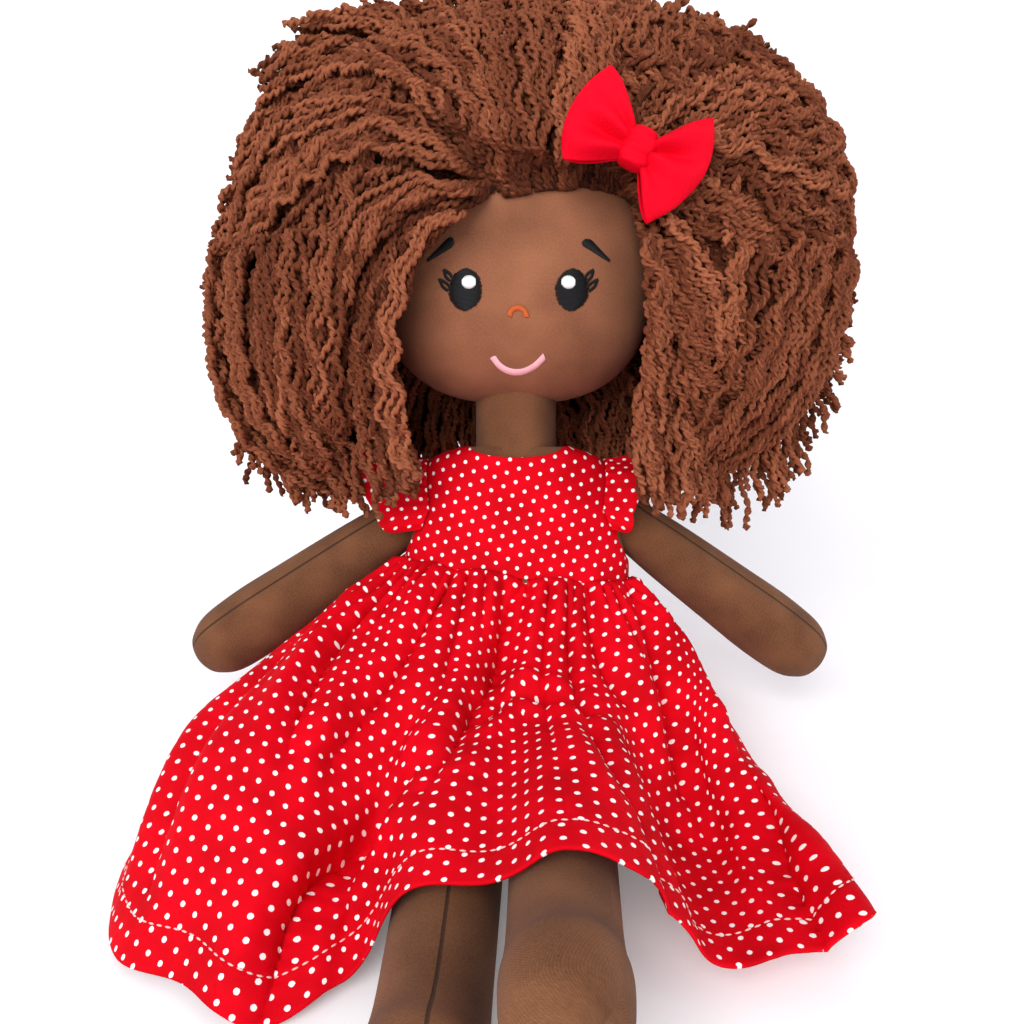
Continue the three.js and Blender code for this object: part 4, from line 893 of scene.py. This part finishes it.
# How the tufts run in the photograph, from the hairline outwards, clockwise from beside the doll's
# right cheek over the top to its left cheek: [across, up] in a plane 20 mm behind the middle.
TUFT_LINES = [
    [[-12, 274], [-49, 243], [-64, 200], [-60, 161], [-49, 123]],
    [[-12, 275], [-57, 256], [-83, 208], [-86, 156], [-75, 109]],
    [[-12, 276], [-67, 268], [-102, 223], [-113, 169], [-107, 114]],
    [[-11, 277], [-75, 285], [-119, 248], [-139, 192], [-141, 133]],
    [[-10, 277], [-77, 300], [-121, 273], [-147, 238], [-160, 207]],
    [[-9, 276], [-72, 315], [-110, 308], [-131, 294], [-148, 275]],
    [[-8, 274], [-54, 327], [-86, 336], [-109, 333], [-129, 321]],
    [[-7, 272], [-38, 329], [-63, 347], [-86, 355], [-107, 358]],
    [[-4, 270], [-23, 317], [-38, 341], [-51, 355], [-62, 364]],
    [[1, 270], [-8, 307], [-17, 337], [-23, 357], [-28, 371]],
    [[15, 273], [11, 305], [8, 334], [6, 356], [4, 373]],
    [[25, 273], [28, 307], [32, 337], [36, 355], [40, 371]],
    [[33, 275], [44, 305], [55, 332], [67, 351], [81, 364]],
    [[39, 274], [55, 303], [75, 324], [98, 339], [119, 347]],
    [[43, 274], [68, 303], [93, 317], [121, 323], [148, 322]],
    [[47, 273], [79, 295], [109, 303], [137, 299], [165, 290]],
    [[50, 273], [84, 285], [117, 280], [146, 264], [173, 242]],
    [[52, 272], [89, 273], [123, 253], [150, 223], [172, 192]],
    [[55, 271], [89, 261], [119, 225], [143, 184], [158, 145]],
    [[57, 270], [85, 248], [107, 202], [124, 156], [134, 111]],
    [[60, 267], [79, 238], [91, 192], [97, 145], [101, 101]],
    [[64, 262], [72, 233], [71, 192], [65, 153], [71, 111]],
]
GUIDE_PLANE = 20


def stand_up(points):
    """From the floor's frame to the body's own leaning frame."""
    p = np.asarray(points, float)
    c, s = math.cos(RECLINE), math.sin(RECLINE)
    return np.stack([p[..., 0], p[..., 1] * c - p[..., 2] * s, p[..., 1] * s + p[..., 2] * c], -1)


viewer = stand_up(np.array(camera.location) * 1000)


def seen_at(flat, depth):
    """Places of the guide plane, moved along the camera's line of sight to their real depth."""
    share = (depth - viewer[1]) / (GUIDE_PLANE - viewer[1])
    x = viewer[0] + (flat[..., 0] - viewer[0]) * share
    w = viewer[2] + (flat[..., 1] - viewer[2]) * share
    return np.stack([x, depth + 0 * x, w], -1)


def mass_front(x, w):
    """How far forward the hair's mass reaches; over the shoulders it hangs down in front of them."""
    rise = (w - HAIR["centre"]) / (HAIR["height"] / 2)
    side = (x - HAIR["middle"] - HAIR["lean"] * rise) / (HAIR["width"] / 2)
    power = HAIR["power"]
    high, low = np.abs(rise) ** power, np.abs(rise) ** (power + 1)
    room = 1 - np.abs(side) ** power - np.where(rise > 0, high, low)
    front = HAIR["back"] - HAIR["depth"] / 2 * np.maximum(room, 0.05) ** (1 / power)
    shoulder = -44 + 52 * smooth((np.abs(x - 4) - 72) / 34)
    laid = smooth((168 - w) / 20)  # from 168 mm down the hair comes to lie over the shoulders
    return np.where(w < 168, np.minimum(front, shoulder * laid + front * (1 - laid)), front)


def front_places(guide, along, deep):
    """Places in the front of the hair: guide 0 to 1 round the face, along 0 to 1 from the root."""
    lines = through(np.array(TUFT_LINES, float), guide)
    flat = np.stack([through(line, t) for line, t in zip(lines, along)])
    step = np.linalg.norm(np.diff(lines, axis=1), axis=2).sum(1)[:, None]
    lifted = smooth(along * step / 24)  # a strand has left the head 24 mm from its root
    depth = np.full(along.shape, -45.0)
    for _ in range(6):  # the line of sight and the depth settle on one another
        place = seen_at(flat, depth)
        root = -face_depth(place[..., 0], place[..., 2]) - 1.5
        depth = root * (1 - lifted) + (mass_front(place[..., 0], place[..., 2]) + deep) * lifted
    return seen_at(flat, depth)


def back_places(turn, along, deep):
    """Places behind: turn is degrees from straight back, along 0 to 1 from the crown to the nape."""
    turn = np.radians(turn)[:, None]
    fall = np.radians(12 + 133 * along)
    way = np.stack([np.sin(fall) * np.sin(turn), np.sin(fall) * np.cos(turn), np.cos(fall)], -1)
    sizes = np.array([HAIR["width"] / 2, HAIR["depth"] / 2, HAIR["height"] / 2])
    power = np.where(way[..., 2] > 0, HAIR["power"], 2.9)[..., None]
    reach = (np.abs(way / sizes) ** power).sum(-1) ** (-1 / power[..., 0]) - deep
    place = way * reach[..., None]
    place[..., 0] += HAIR["middle"] + HAIR["lean"] * place[..., 2] / (HAIR["height"] / 2)
    place[..., 1] += HAIR["back"]
    place[..., 2] = np.maximum(place[..., 2] + HAIR["centre"], HAIR["floor"])
    return place


def twisted(path, wave, phase):
    """One strand: two plies twisted round a wavy path, as rings of eight points."""
    far = np.concatenate([[0], np.cumsum(np.linalg.norm(np.diff(path, axis=0), axis=1))])
    count = max(8, int(far[-1] / YARN["step"]))
    s = np.linspace(0, far[-1], count)
    line = np.stack([np.interp(s, far, path[:, k]) for k in range(3)], -1)
    middle = np.array([HAIR["middle"], HAIR["back"], HAIR["centre"]])
    for waved in (False, True):
        way = unit(np.gradient(line, axis=0))
        side = unit(np.cross(way, line - middle))
        out = np.cross(side, way)
        if not waved:
            grow = smooth(s / 14)[:, None]
            beat = 2 * math.pi * s / wave + phase
            sway = wave / 24 * rng.uniform(1.6, 2.9) * np.sin(beat)
            sway += 2.6 * np.sin(s / rng.uniform(14, 22) + rng.uniform(0, 6))
            nod = rng.uniform(0.8, 1.7) * np.sin(beat * 1.13 + 1.3)
            line = line + grow * (side * sway[:, None] + out * nod[:, None])
    corner = np.array([[YARN["half"], 0], [1.35, YARN["ply"]], [0, YARN["waist"]], [-1.35, YARN["ply"]]])
    corner = np.concatenate([corner, -corner]) * rng.uniform(0.88, 1.06)
    twist = 2 * math.pi * s / YARN["pitch"] + rng.uniform(0, 6.3)
    c, d = np.cos(twist)[:, None], np.sin(twist)[:, None]
    flare = 1 + 0.18 * smooth((s - s[-1] + 4) / 4)
    flare[-1] = 0.7
    a = (corner[:, 0] * c - corner[:, 1] * d) * flare[:, None]
    b = (corner[:, 0] * d + corner[:, 1] * c) * flare[:, None]
    return line[:, None] + side[:, None] * a[..., None] + out[:, None] * b[..., None]


def yarn_piece(name, strands, material):
    """Strands of rings as one mesh, with a tone for each strand, painted darker near its root and lighter
    towards its tip, and a strip of its own in the map.
    """
    points, faces, tone, uv = [], [], [], []
    base = 0
    for number, (rings, shade) in enumerate(strands):
        n = len(rings)
        i, j = np.meshgrid(np.arange(n - 1), np.arange(8), indexing="ij")
        k = (j + 1) % 8
        quads = np.stack([i * 8 + j, (i + 1) * 8 + j, (i + 1) * 8 + k, i * 8 + k], -1)
        quads = quads.reshape(-1, 4) + base
        last = base + (n - 1) * 8
        caps = base + np.array([[0, 1, 2, 3], [0, 3, 4, 5], [0, 5, 6, 7]])
        ends = last + np.array([[3, 2, 1, 0], [5, 4, 3, 0], [7, 6, 5, 0]])
        faces.append(np.concatenate([quads, caps, ends]))
        points.append(rings.reshape(-1, 3))
        along = np.linspace(0, 1, n)
        # Painted light: each strand is painted darker over the first fifth from its root (painted shade
        # where it leaves the head) and lighter towards its tip (painted highlight).
        tone.append(np.repeat(shade + 0.16 * along**2 - 0.25 * (1 - smooth(along * 5)), 8))
        left, right = ((number + 0.04 + 0.92 * corner / 8) / len(strands) for corner in (j, j + 1))
        low, high = 0.01 + 0.98 * i / n, 0.01 + 0.98 * (i + 1) / n
        strip = np.stack([left, low, left, high, right, high, right, low], -1).reshape(-1, 2)
        spot = (number + 0.5) / len(strands)
        uv += [strip, np.tile([[spot, 0.005]], (12, 1)), np.tile([[spot, 0.995]], (12, 1))]
        base += n * 8
    points, faces = lean_back(np.concatenate(points)), np.concatenate(faces)
    above = points[:, 2] - YARN["top"]
    bent = YARN["room"] * np.tanh(above / YARN["room"])
    points[:, 2] = YARN["top"] + np.where(above > 0, bent, above)
    points *= 0.001
    mesh = bpy.data.meshes.new(name)
    mesh.vertices.add(len(points))
    mesh.vertices.foreach_set("co", points.astype(np.float32).ravel())
    mesh.loops.add(faces.size)
    mesh.loops.foreach_set("vertex_index", faces.astype(np.int32).ravel())
    mesh.polygons.add(len(faces))
    mesh.polygons.foreach_set("loop_start", np.arange(0, faces.size, 4, dtype=np.int32))
    mesh.polygons.foreach_set("use_smooth", np.ones(len(faces), bool))
    mesh.update(calc_edges=True)
    strips = mesh.uv_layers.new(name="OFBake")
    strips.data.foreach_set("uv", np.concatenate(uv).astype(np.float32).ravel())
    tones = mesh.attributes.new("strand_tone", "FLOAT", "POINT")
    tones.data.foreach_set("value", np.concatenate(tone).astype(np.float32))
    piece = bpy.data.objects.new(name, mesh)
    bpy.context.scene.collection.objects.link(piece)
    piece.data.materials.append(material)
    return piece


# The yarn is spun from brown fibres of several shades. Its tone also holds painted shade near the roots
# and deep in the hair, and a painted highlight towards the tips.
yarn, tree, shader = new_material("brown_two_ply_yarn")
strand = add(tree, "ShaderNodeAttribute", attribute_name="strand_tone").outputs["Fac"]
place = add(tree, "ShaderNodeTexCoord").outputs["Object"]
fibres = add(tree, "ShaderNodeTexNoise", {"Vector": place, "Scale": 900.0, "Detail": 3.0})
mottled = add(tree, "ShaderNodeMath", {0: fibres.outputs[0], 1: 0.5, 2: strand}, operation="MULTIPLY_ADD")
ramp = add(tree, "ShaderNodeValToRGB", {0: mottled.outputs[0]})
ramp.color_ramp.elements[0].position = 0.15
ramp.color_ramp.elements[0].color = linear("#2c120a")
ramp.color_ramp.elements[1].position = 1.15
ramp.color_ramp.elements[1].color = linear("#9c5b3e")
ramp.color_ramp.elements.new(0.62).color = linear("#673420")
tree.links.new(ramp.outputs[0], shader.inputs["Base Color"])
relief(tree, fibres.outputs[0], strength=0.5, distance=0.0003)
shader.inputs["Roughness"].default_value = 0.85
shader.inputs["Specular IOR Level"].default_value = 0.12
shader.inputs["Sheen Weight"].default_value = 0.12
shader.inputs["Sheen Tint"].default_value = linear("#c9855e")

# The cap is a dark sheet inside the hair: its dark browns are painted shade that shows between the
# strands, broken up by cells about 3 mm across
painted_shade_cap, tree, shader = new_material("dark_brown_knitted_cap")
place = add(tree, "ShaderNodeTexCoord").outputs["Object"]
loops = add(tree, "ShaderNodeTexVoronoi", {"Vector": place, "Scale": 320.0})
# Painted shade: the cap's two dark browns stand for the shade deep inside the hair.
tree.links.new(mixed(tree, loops.outputs[0], "#2a130b", "#5a2d1c"), shader.inputs["Base Color"])
relief(tree, loops.outputs[0], strength=0.8, distance=0.001)
shader.inputs["Roughness"].default_value = 0.95
shader.inputs["Specular IOR Level"].default_value = 0.03

# The hair below the cheeks rests on the neck and shoulders
CAP = {"inside": 15.0, "thickness": 1.5}
guide, along = np.linspace(0, 1, 90), np.linspace(0.02, 0.6, 40)
front_cap = front_places(guide, np.tile(along, (90, 1)), CAP["inside"])
turn = np.linspace(-180, 180, 121)
reach = 0.98 - 0.77 * smooth((np.abs(turn) - 118) / 30)
back_cap = back_places(turn, np.outer(reach, np.linspace(-0.08, 1, 60)), CAP["inside"])
for name, places in ("wig_cap_front", front_cap), ("wig_cap_back", back_cap):
    places = lean_back(places.transpose(1, 0, 2))
    cap = woven(name, places, np.zeros(places.shape[:2] + (2,)), painted_shade_cap, thickness=CAP["thickness"])
    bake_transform(cap)

rng = np.random.default_rng(21)
bunches = {}


def tuft_look():
    """What the strands of one tuft share: the length and the start of their waves, and a tone."""
    return rng.uniform(17, 26), rng.uniform(0, 6.3), rng.uniform(-0.16, 0.16)


def add_strand(kind, side, path, look, layer=0.0, tone=0.45, varied=True):
    """Twist a strand along its path, and put it into its bunch with its tone, painted darker further in as
    painted shade inside the hair.
    """
    wave, phase, tuft_tone = look
    rings = twisted(path, wave, phase + rng.normal(0, 0.45))
    tone += tuft_tone
    if varied:
        tone += rng.uniform(-0.12, 0.12)
    # Painted shade: the deeper a strand's layer lies inside the hair, the darker its tone.
    bunches.setdefault((kind, side), []).append((rings, tone - 0.022 * layer))


# Tufts in front, from the right cheek round the forehead to the left one
for tuft in range(220):
    guide = (tuft + rng.uniform(0, 1)) / 220
    guide = np.clip(guide + rng.uniform(-0.1, 0.1) * (rng.uniform() < 0.5), 0.004, 0.996)
    root = 0.0 if rng.uniform() < 0.25 else 0.02 + 0.62 * rng.uniform() ** 1.25
    deep = rng.uniform(-4, 10) if root else rng.uniform(-2, 8)
    look = tuft_look()
    for _ in range(4):
        line_at = np.clip(guide + rng.normal(0, 0.0065), 0, 1)
        tip = 1 + 0.03 * rng.normal() - 0.3 * rng.uniform() ** 3
        t = np.linspace(max(0, root + rng.uniform(-0.03, 0.03) * (root > 0)), min(tip, 1.0), 60)
        layer = deep + rng.uniform(-1.8, 1.8)
        sunk = 11 * (1 - smooth((t - t[0]) * 6)) if root else 0 * t
        path = front_places(np.array([line_at]), t[None], (layer + sunk)[None])[0]
        if tip > 1:
            path = np.concatenate([path, path[-1:] + unit(path[-1] - path[-4]) * (tip - 1) * 150])
        kind = "crown" if 0.2 < line_at < 0.72 else "side"
        add_strand(kind, "right" if line_at < 0.46 else "left", path, look, layer)

# Tufts all round the back, most of them long, sewn on from the crown down to the ears' height
for tuft in range(170):
    turn = -180 + 360 * (tuft + rng.uniform(0, 1)) / 170
    ahead = smooth((abs(turn) - 96) / 45)  # in front of the ears these lie under the tufts above
    root = rng.uniform(-0.08, 0.5) if rng.uniform() < 0.55 else rng.uniform(-0.08, 0.06)
    root = root * (1 - ahead) + rng.uniform(-0.08, 0.04) * ahead
    deep = rng.uniform(-2, 9) + 3 * ahead
    look = tuft_look()
    for _ in range(4):
        tip = rng.uniform(0.86, 1.02) * (1 - 0.64 * smooth((abs(turn) - 122) / 30))
        t = np.linspace(root, tip, 70)
        layer = deep + rng.uniform(-1.8, 1.8)
        sunk = 11 * (1 - smooth((t - t[0]) * 7))
        path = back_places(np.array([turn + rng.normal(0, 1.6)]), t[None], (layer + sunk)[None])[0]
        add_strand("back", "right" if turn < 0 else "left", path, look, layer)

# Short tufts that cover the parting on top of the head
for tuft in range(110):
    turn = -180 + 360 * (tuft + rng.uniform(0, 1)) / 110
    root = rng.uniform(-0.06, 0.2)
    look = tuft_look()
    for _ in range(3):
        tip = root + rng.uniform(0.2, 0.34) * (1 - 0.4 * smooth((abs(turn) - 120) / 40))
        t = np.linspace(root, tip, 40)
        layer = rng.uniform(1, 8)
        sunk = 10 * (1 - smooth((t - t[0]) * 8))
        path = back_places(np.array([turn + rng.normal(0, 2.5)]), t[None], (layer + sunk)[None])[0]
        add_strand("back", "right" if turn < 0 else "left", path, look, layer, varied=False)

# Strands at the nape, which hang down behind the neck
for tuft in range(48):
    x = -76 + 154 * (tuft + rng.uniform(0, 1)) / 48
    look = tuft_look()
    for _ in range(2):
        back = rng.uniform(0, 9)
        fall = [[0.8 * x, 24, 190], [0.95 * x, 33 + back, 165], [x, 41 + back, 140]]
        fall += [[1.04 * x, 45 + back, rng.uniform(112, 124)]]
        path = through(np.array(fall) + rng.normal(0, 1.5, 3), np.linspace(0, 1, 40))
        add_strand("back", "right" if x < 0 else "left", path, look, tone=0.4, varied=False)

PIECE_TRIANGLES = 190000  # a bunch with more is split into pieces of alternate strands
for (kind, side), made in bunches.items():
    parts = math.ceil(sum(len(rings) * 16 for rings, shade in made) / PIECE_TRIANGLES)
    for part in range(parts):
        piece = yarn_piece(f"yarn_{kind}_{side}_{part + 1}", made[part::parts], yarn)
        if part == 0:
            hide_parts(f"hair_{kind}_{side}")
        if kind == "crown":
            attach(piece, "head")
        else:
            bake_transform(piece)


# Hair bow: two loops folded from a strip of plain red crepe and gathered under a narrow wrapped
# band, sewn to the yarn above the left temple. The loops fan out and crease towards the band.
BOW = {"across": 48.3, "height": 261.0, "forward": 64.6, "tilt": 28.0, "root": 3.5, "pinch": 5.5}
LOOP_EDGES = {
    "right": [[-24.5, -17.0], [-29.0, -9.5], [-31.2, 2.0], [-29.6, 13.5], [-25.0, 23.5]],
    "left": [[17.0, -23.5], [24.5, -11.5], [28.4, 4.0], [26.2, 15.5], [21.0, 25.0]],
}
KNOT = {"half": 6.6, "tall": 8.0, "deep": 6.0, "forward": 2.5}


def on_head(points):
    """From the bow's own frame (along it, up it, out of it) to the head's."""
    c, s = math.cos(math.radians(BOW["tilt"])), math.sin(math.radians(BOW["tilt"]))
    x, w, out = points[..., 0], points[..., 1], points[..., 2]
    across, height = BOW["across"] + x * c + w * s, BOW["height"] - x * s + w * c
    return np.stack([across, -BOW["forward"] - out, height], -1)


crepe, tree, shader = new_material("red_polyester_crepe")
place = add(tree, "ShaderNodeUVMap", uv_map="cloth").outputs[0]
pebble = add(tree, "ShaderNodeTexNoise", {"Vector": place, "Scale": 1.4, "Detail": 3.0, "Roughness": 0.7})
tree.links.new(mixed(tree, pebble.outputs[0], "#cc001a", "#f60026"), shader.inputs["Base Color"])
relief(tree, pebble.outputs[0], strength=0.6, distance=0.0005)
shader.inputs["Roughness"].default_value = 0.7
shader.inputs["Specular IOR Level"].default_value = 0.08

for name, side in ("right", -1), ("left", 1):
    across = np.linspace(-1, 1, 49)
    edge = through(LOOP_EDGES[name], (across + 1) / 2)
    root = np.stack([np.full(49, side * BOW["root"]), across * BOW["pinch"]], -1)
    out_share = np.sin(np.linspace(0.02, math.pi / 2, 34))
    hollow = np.exp(-(((across - 0.12 * side) / 0.2) ** 2))
    rows, layers = [], []
    for face in 1, -1:
        for share in out_share if face > 0 else out_share[::-1][1:]:
            puff = 4.3 * math.sin(math.pi * min(share, 0.999) ** 0.85) ** 0.8
            puff += 1.9 * math.sqrt(max(0, 1 - share**6))
            puff = puff * (1 - 0.62 * np.abs(across) ** 3)
            crease = 2.3 * (1 - share) ** 0.5 * np.cos(math.pi * (2.6 * across + 0.4 * side))
            crease = crease * min(1, share * 6)
            dent = -4.2 * hollow * math.sin(math.pi * min(1, share * 1.15)) ** 1.5 * (share < 0.87)
            depth = face * (puff + (crease + dent if face > 0 else crease * 0.4)) + 1.5
            swell = [1, 1 + 0.1 * math.sin(math.pi * min(1, share))]
            rows.append(np.concatenate([(root + (edge - root) * share) * swell, depth[:, None]], axis=1))
            layers.append(share if face > 0 else 2 - share)
    loop = on_head(np.array(rows))
    flat = np.stack(np.broadcast_arrays(across[None] * 17.5, np.array(layers)[:, None] * 30), -1)
    piece = woven("bow_loop_folded_" + name, lean_back(loop), flat, crepe, thickness=0.7)
    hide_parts("bow_loop_" + name)
    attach(piece, "head")
    area = np.cross(np.diff(loop, axis=0)[:, :-1], np.diff(loop, axis=1)[:-1])
    area = np.linalg.norm(area, axis=2).sum()

# The wrapped band over the middle, with wrinkles that run round it
rise = np.linspace(-1, 1, 40)[:, None]
a = -np.linspace(0, 2 * math.pi, 64, endpoint=False)[None, :]
closing = np.sqrt(np.clip((1.0 - np.abs(rise)) / 0.07, 0.02, 1))
body = (1 - 0.24 * np.abs(rise) ** 2.2) * np.where(np.abs(rise) > 0.93, closing, 1)
wrinkle = 1 + 0.06 * np.cos(2.5 * a + 7.5 * rise) + 0.045 * np.cos(11 * rise + 1.7 * np.sin(a))
x = KNOT["half"] * body * wrinkle * np.sign(np.cos(a)) * np.abs(np.cos(a)) ** 0.8
out = KNOT["deep"] * body * wrinkle * np.sign(np.sin(a)) * np.abs(np.sin(a)) ** 0.8
band = lean_back(on_head(np.stack([x, KNOT["tall"] * rise + 0 * a, out + KNOT["forward"]], -1)))
band = stuffed("bow_band", band, crepe, seam=48)
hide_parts("bow_knot")
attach(band, "head")


# Studio: a sheet of white paper lies under the doll and curves up behind it. One large soft lamp
# stands in front, above the camera and a little to its left, a weak one to the right, and the room
# is an even pale white.
paper, tree, shader = new_material("white_paper")
place = add(tree, "ShaderNodeTexCoord").outputs["Object"]
grain = add(tree, "ShaderNodeTexNoise", {"Vector": place, "Scale": 60.0})
tree.links.new(mixed(tree, grain.outputs[0], "#f3f2f5", "#f8f7f9"), shader.inputs["Base Color"])
shader.inputs["Roughness"].default_value = 0.9
shader.inputs["Specular IOR Level"].default_value = 0.1
seen = add(tree, "ShaderNodeLightPath").outputs["Is Camera Ray"]
glow = add(tree, "ShaderNodeMath", {0: seen, 1: 0.14}, operation="MULTIPLY")
shader.inputs["Emission Color"].default_value = linear("#ffffff")
tree.links.new(glow.outputs[0], shader.inputs["Emission Strength"])
SWEEP_LINE = [[-900, 0], [0, 0], [250, 0], [380, 25], [460, 110], [490, 260], [500, 900]]
SWEEP_EDGES = -1600.0, 1600.0
profile = through(np.array(SWEEP_LINE, float), np.linspace(0, 1, 80))
points = [[x, y, max(z, 0.0)] for y, z in profile for x in SWEEP_EDGES]
faces = [[2 * i, 2 * i + 1, 2 * i + 3, 2 * i + 2] for i in range(len(profile) - 1)]
sweep = placed("paper_sweep", points, faces, paper)

world = bpy.data.worlds.new("pale_room")
bpy.context.scene.world = world
world.use_nodes = True
tree = world.node_tree
background = tree.nodes["Background"]
background.inputs["Color"].default_value = linear("#f6f6fb")
seen = add(tree, "ShaderNodeLightPath").outputs["Is Camera Ray"]
strength = add(tree, "ShaderNodeMath", {0: seen, 1: 0.52, 2: 0.62}, operation="MULTIPLY_ADD")
tree.links.new(strength.outputs[0], background.inputs["Strength"])
for name, place, size, power in (
    ("soft_window", (-0.42, -1.15, 0.85), 1.0, 18.0),
    ("right_card", (1.0, -0.6, 0.6), 0.9, 3.0),
):
    lamp = bpy.data.lights.new(name, "AREA")
    lamp.shape = "SQUARE"
    lamp.size = size
    lamp.energy = power
    lamp_object = bpy.data.objects.new(name, lamp)
    lamp_object.location = place
    aim = np.array([0.0, 0.0, 0.15]) - np.array(place)
    tilt, turn = math.acos(-aim[2] / np.linalg.norm(aim)), math.atan2(-aim[0], aim[1])
    lamp_object.rotation_euler = (tilt, 0, turn)
    bpy.context.scene.collection.objects.link(lamp_object)
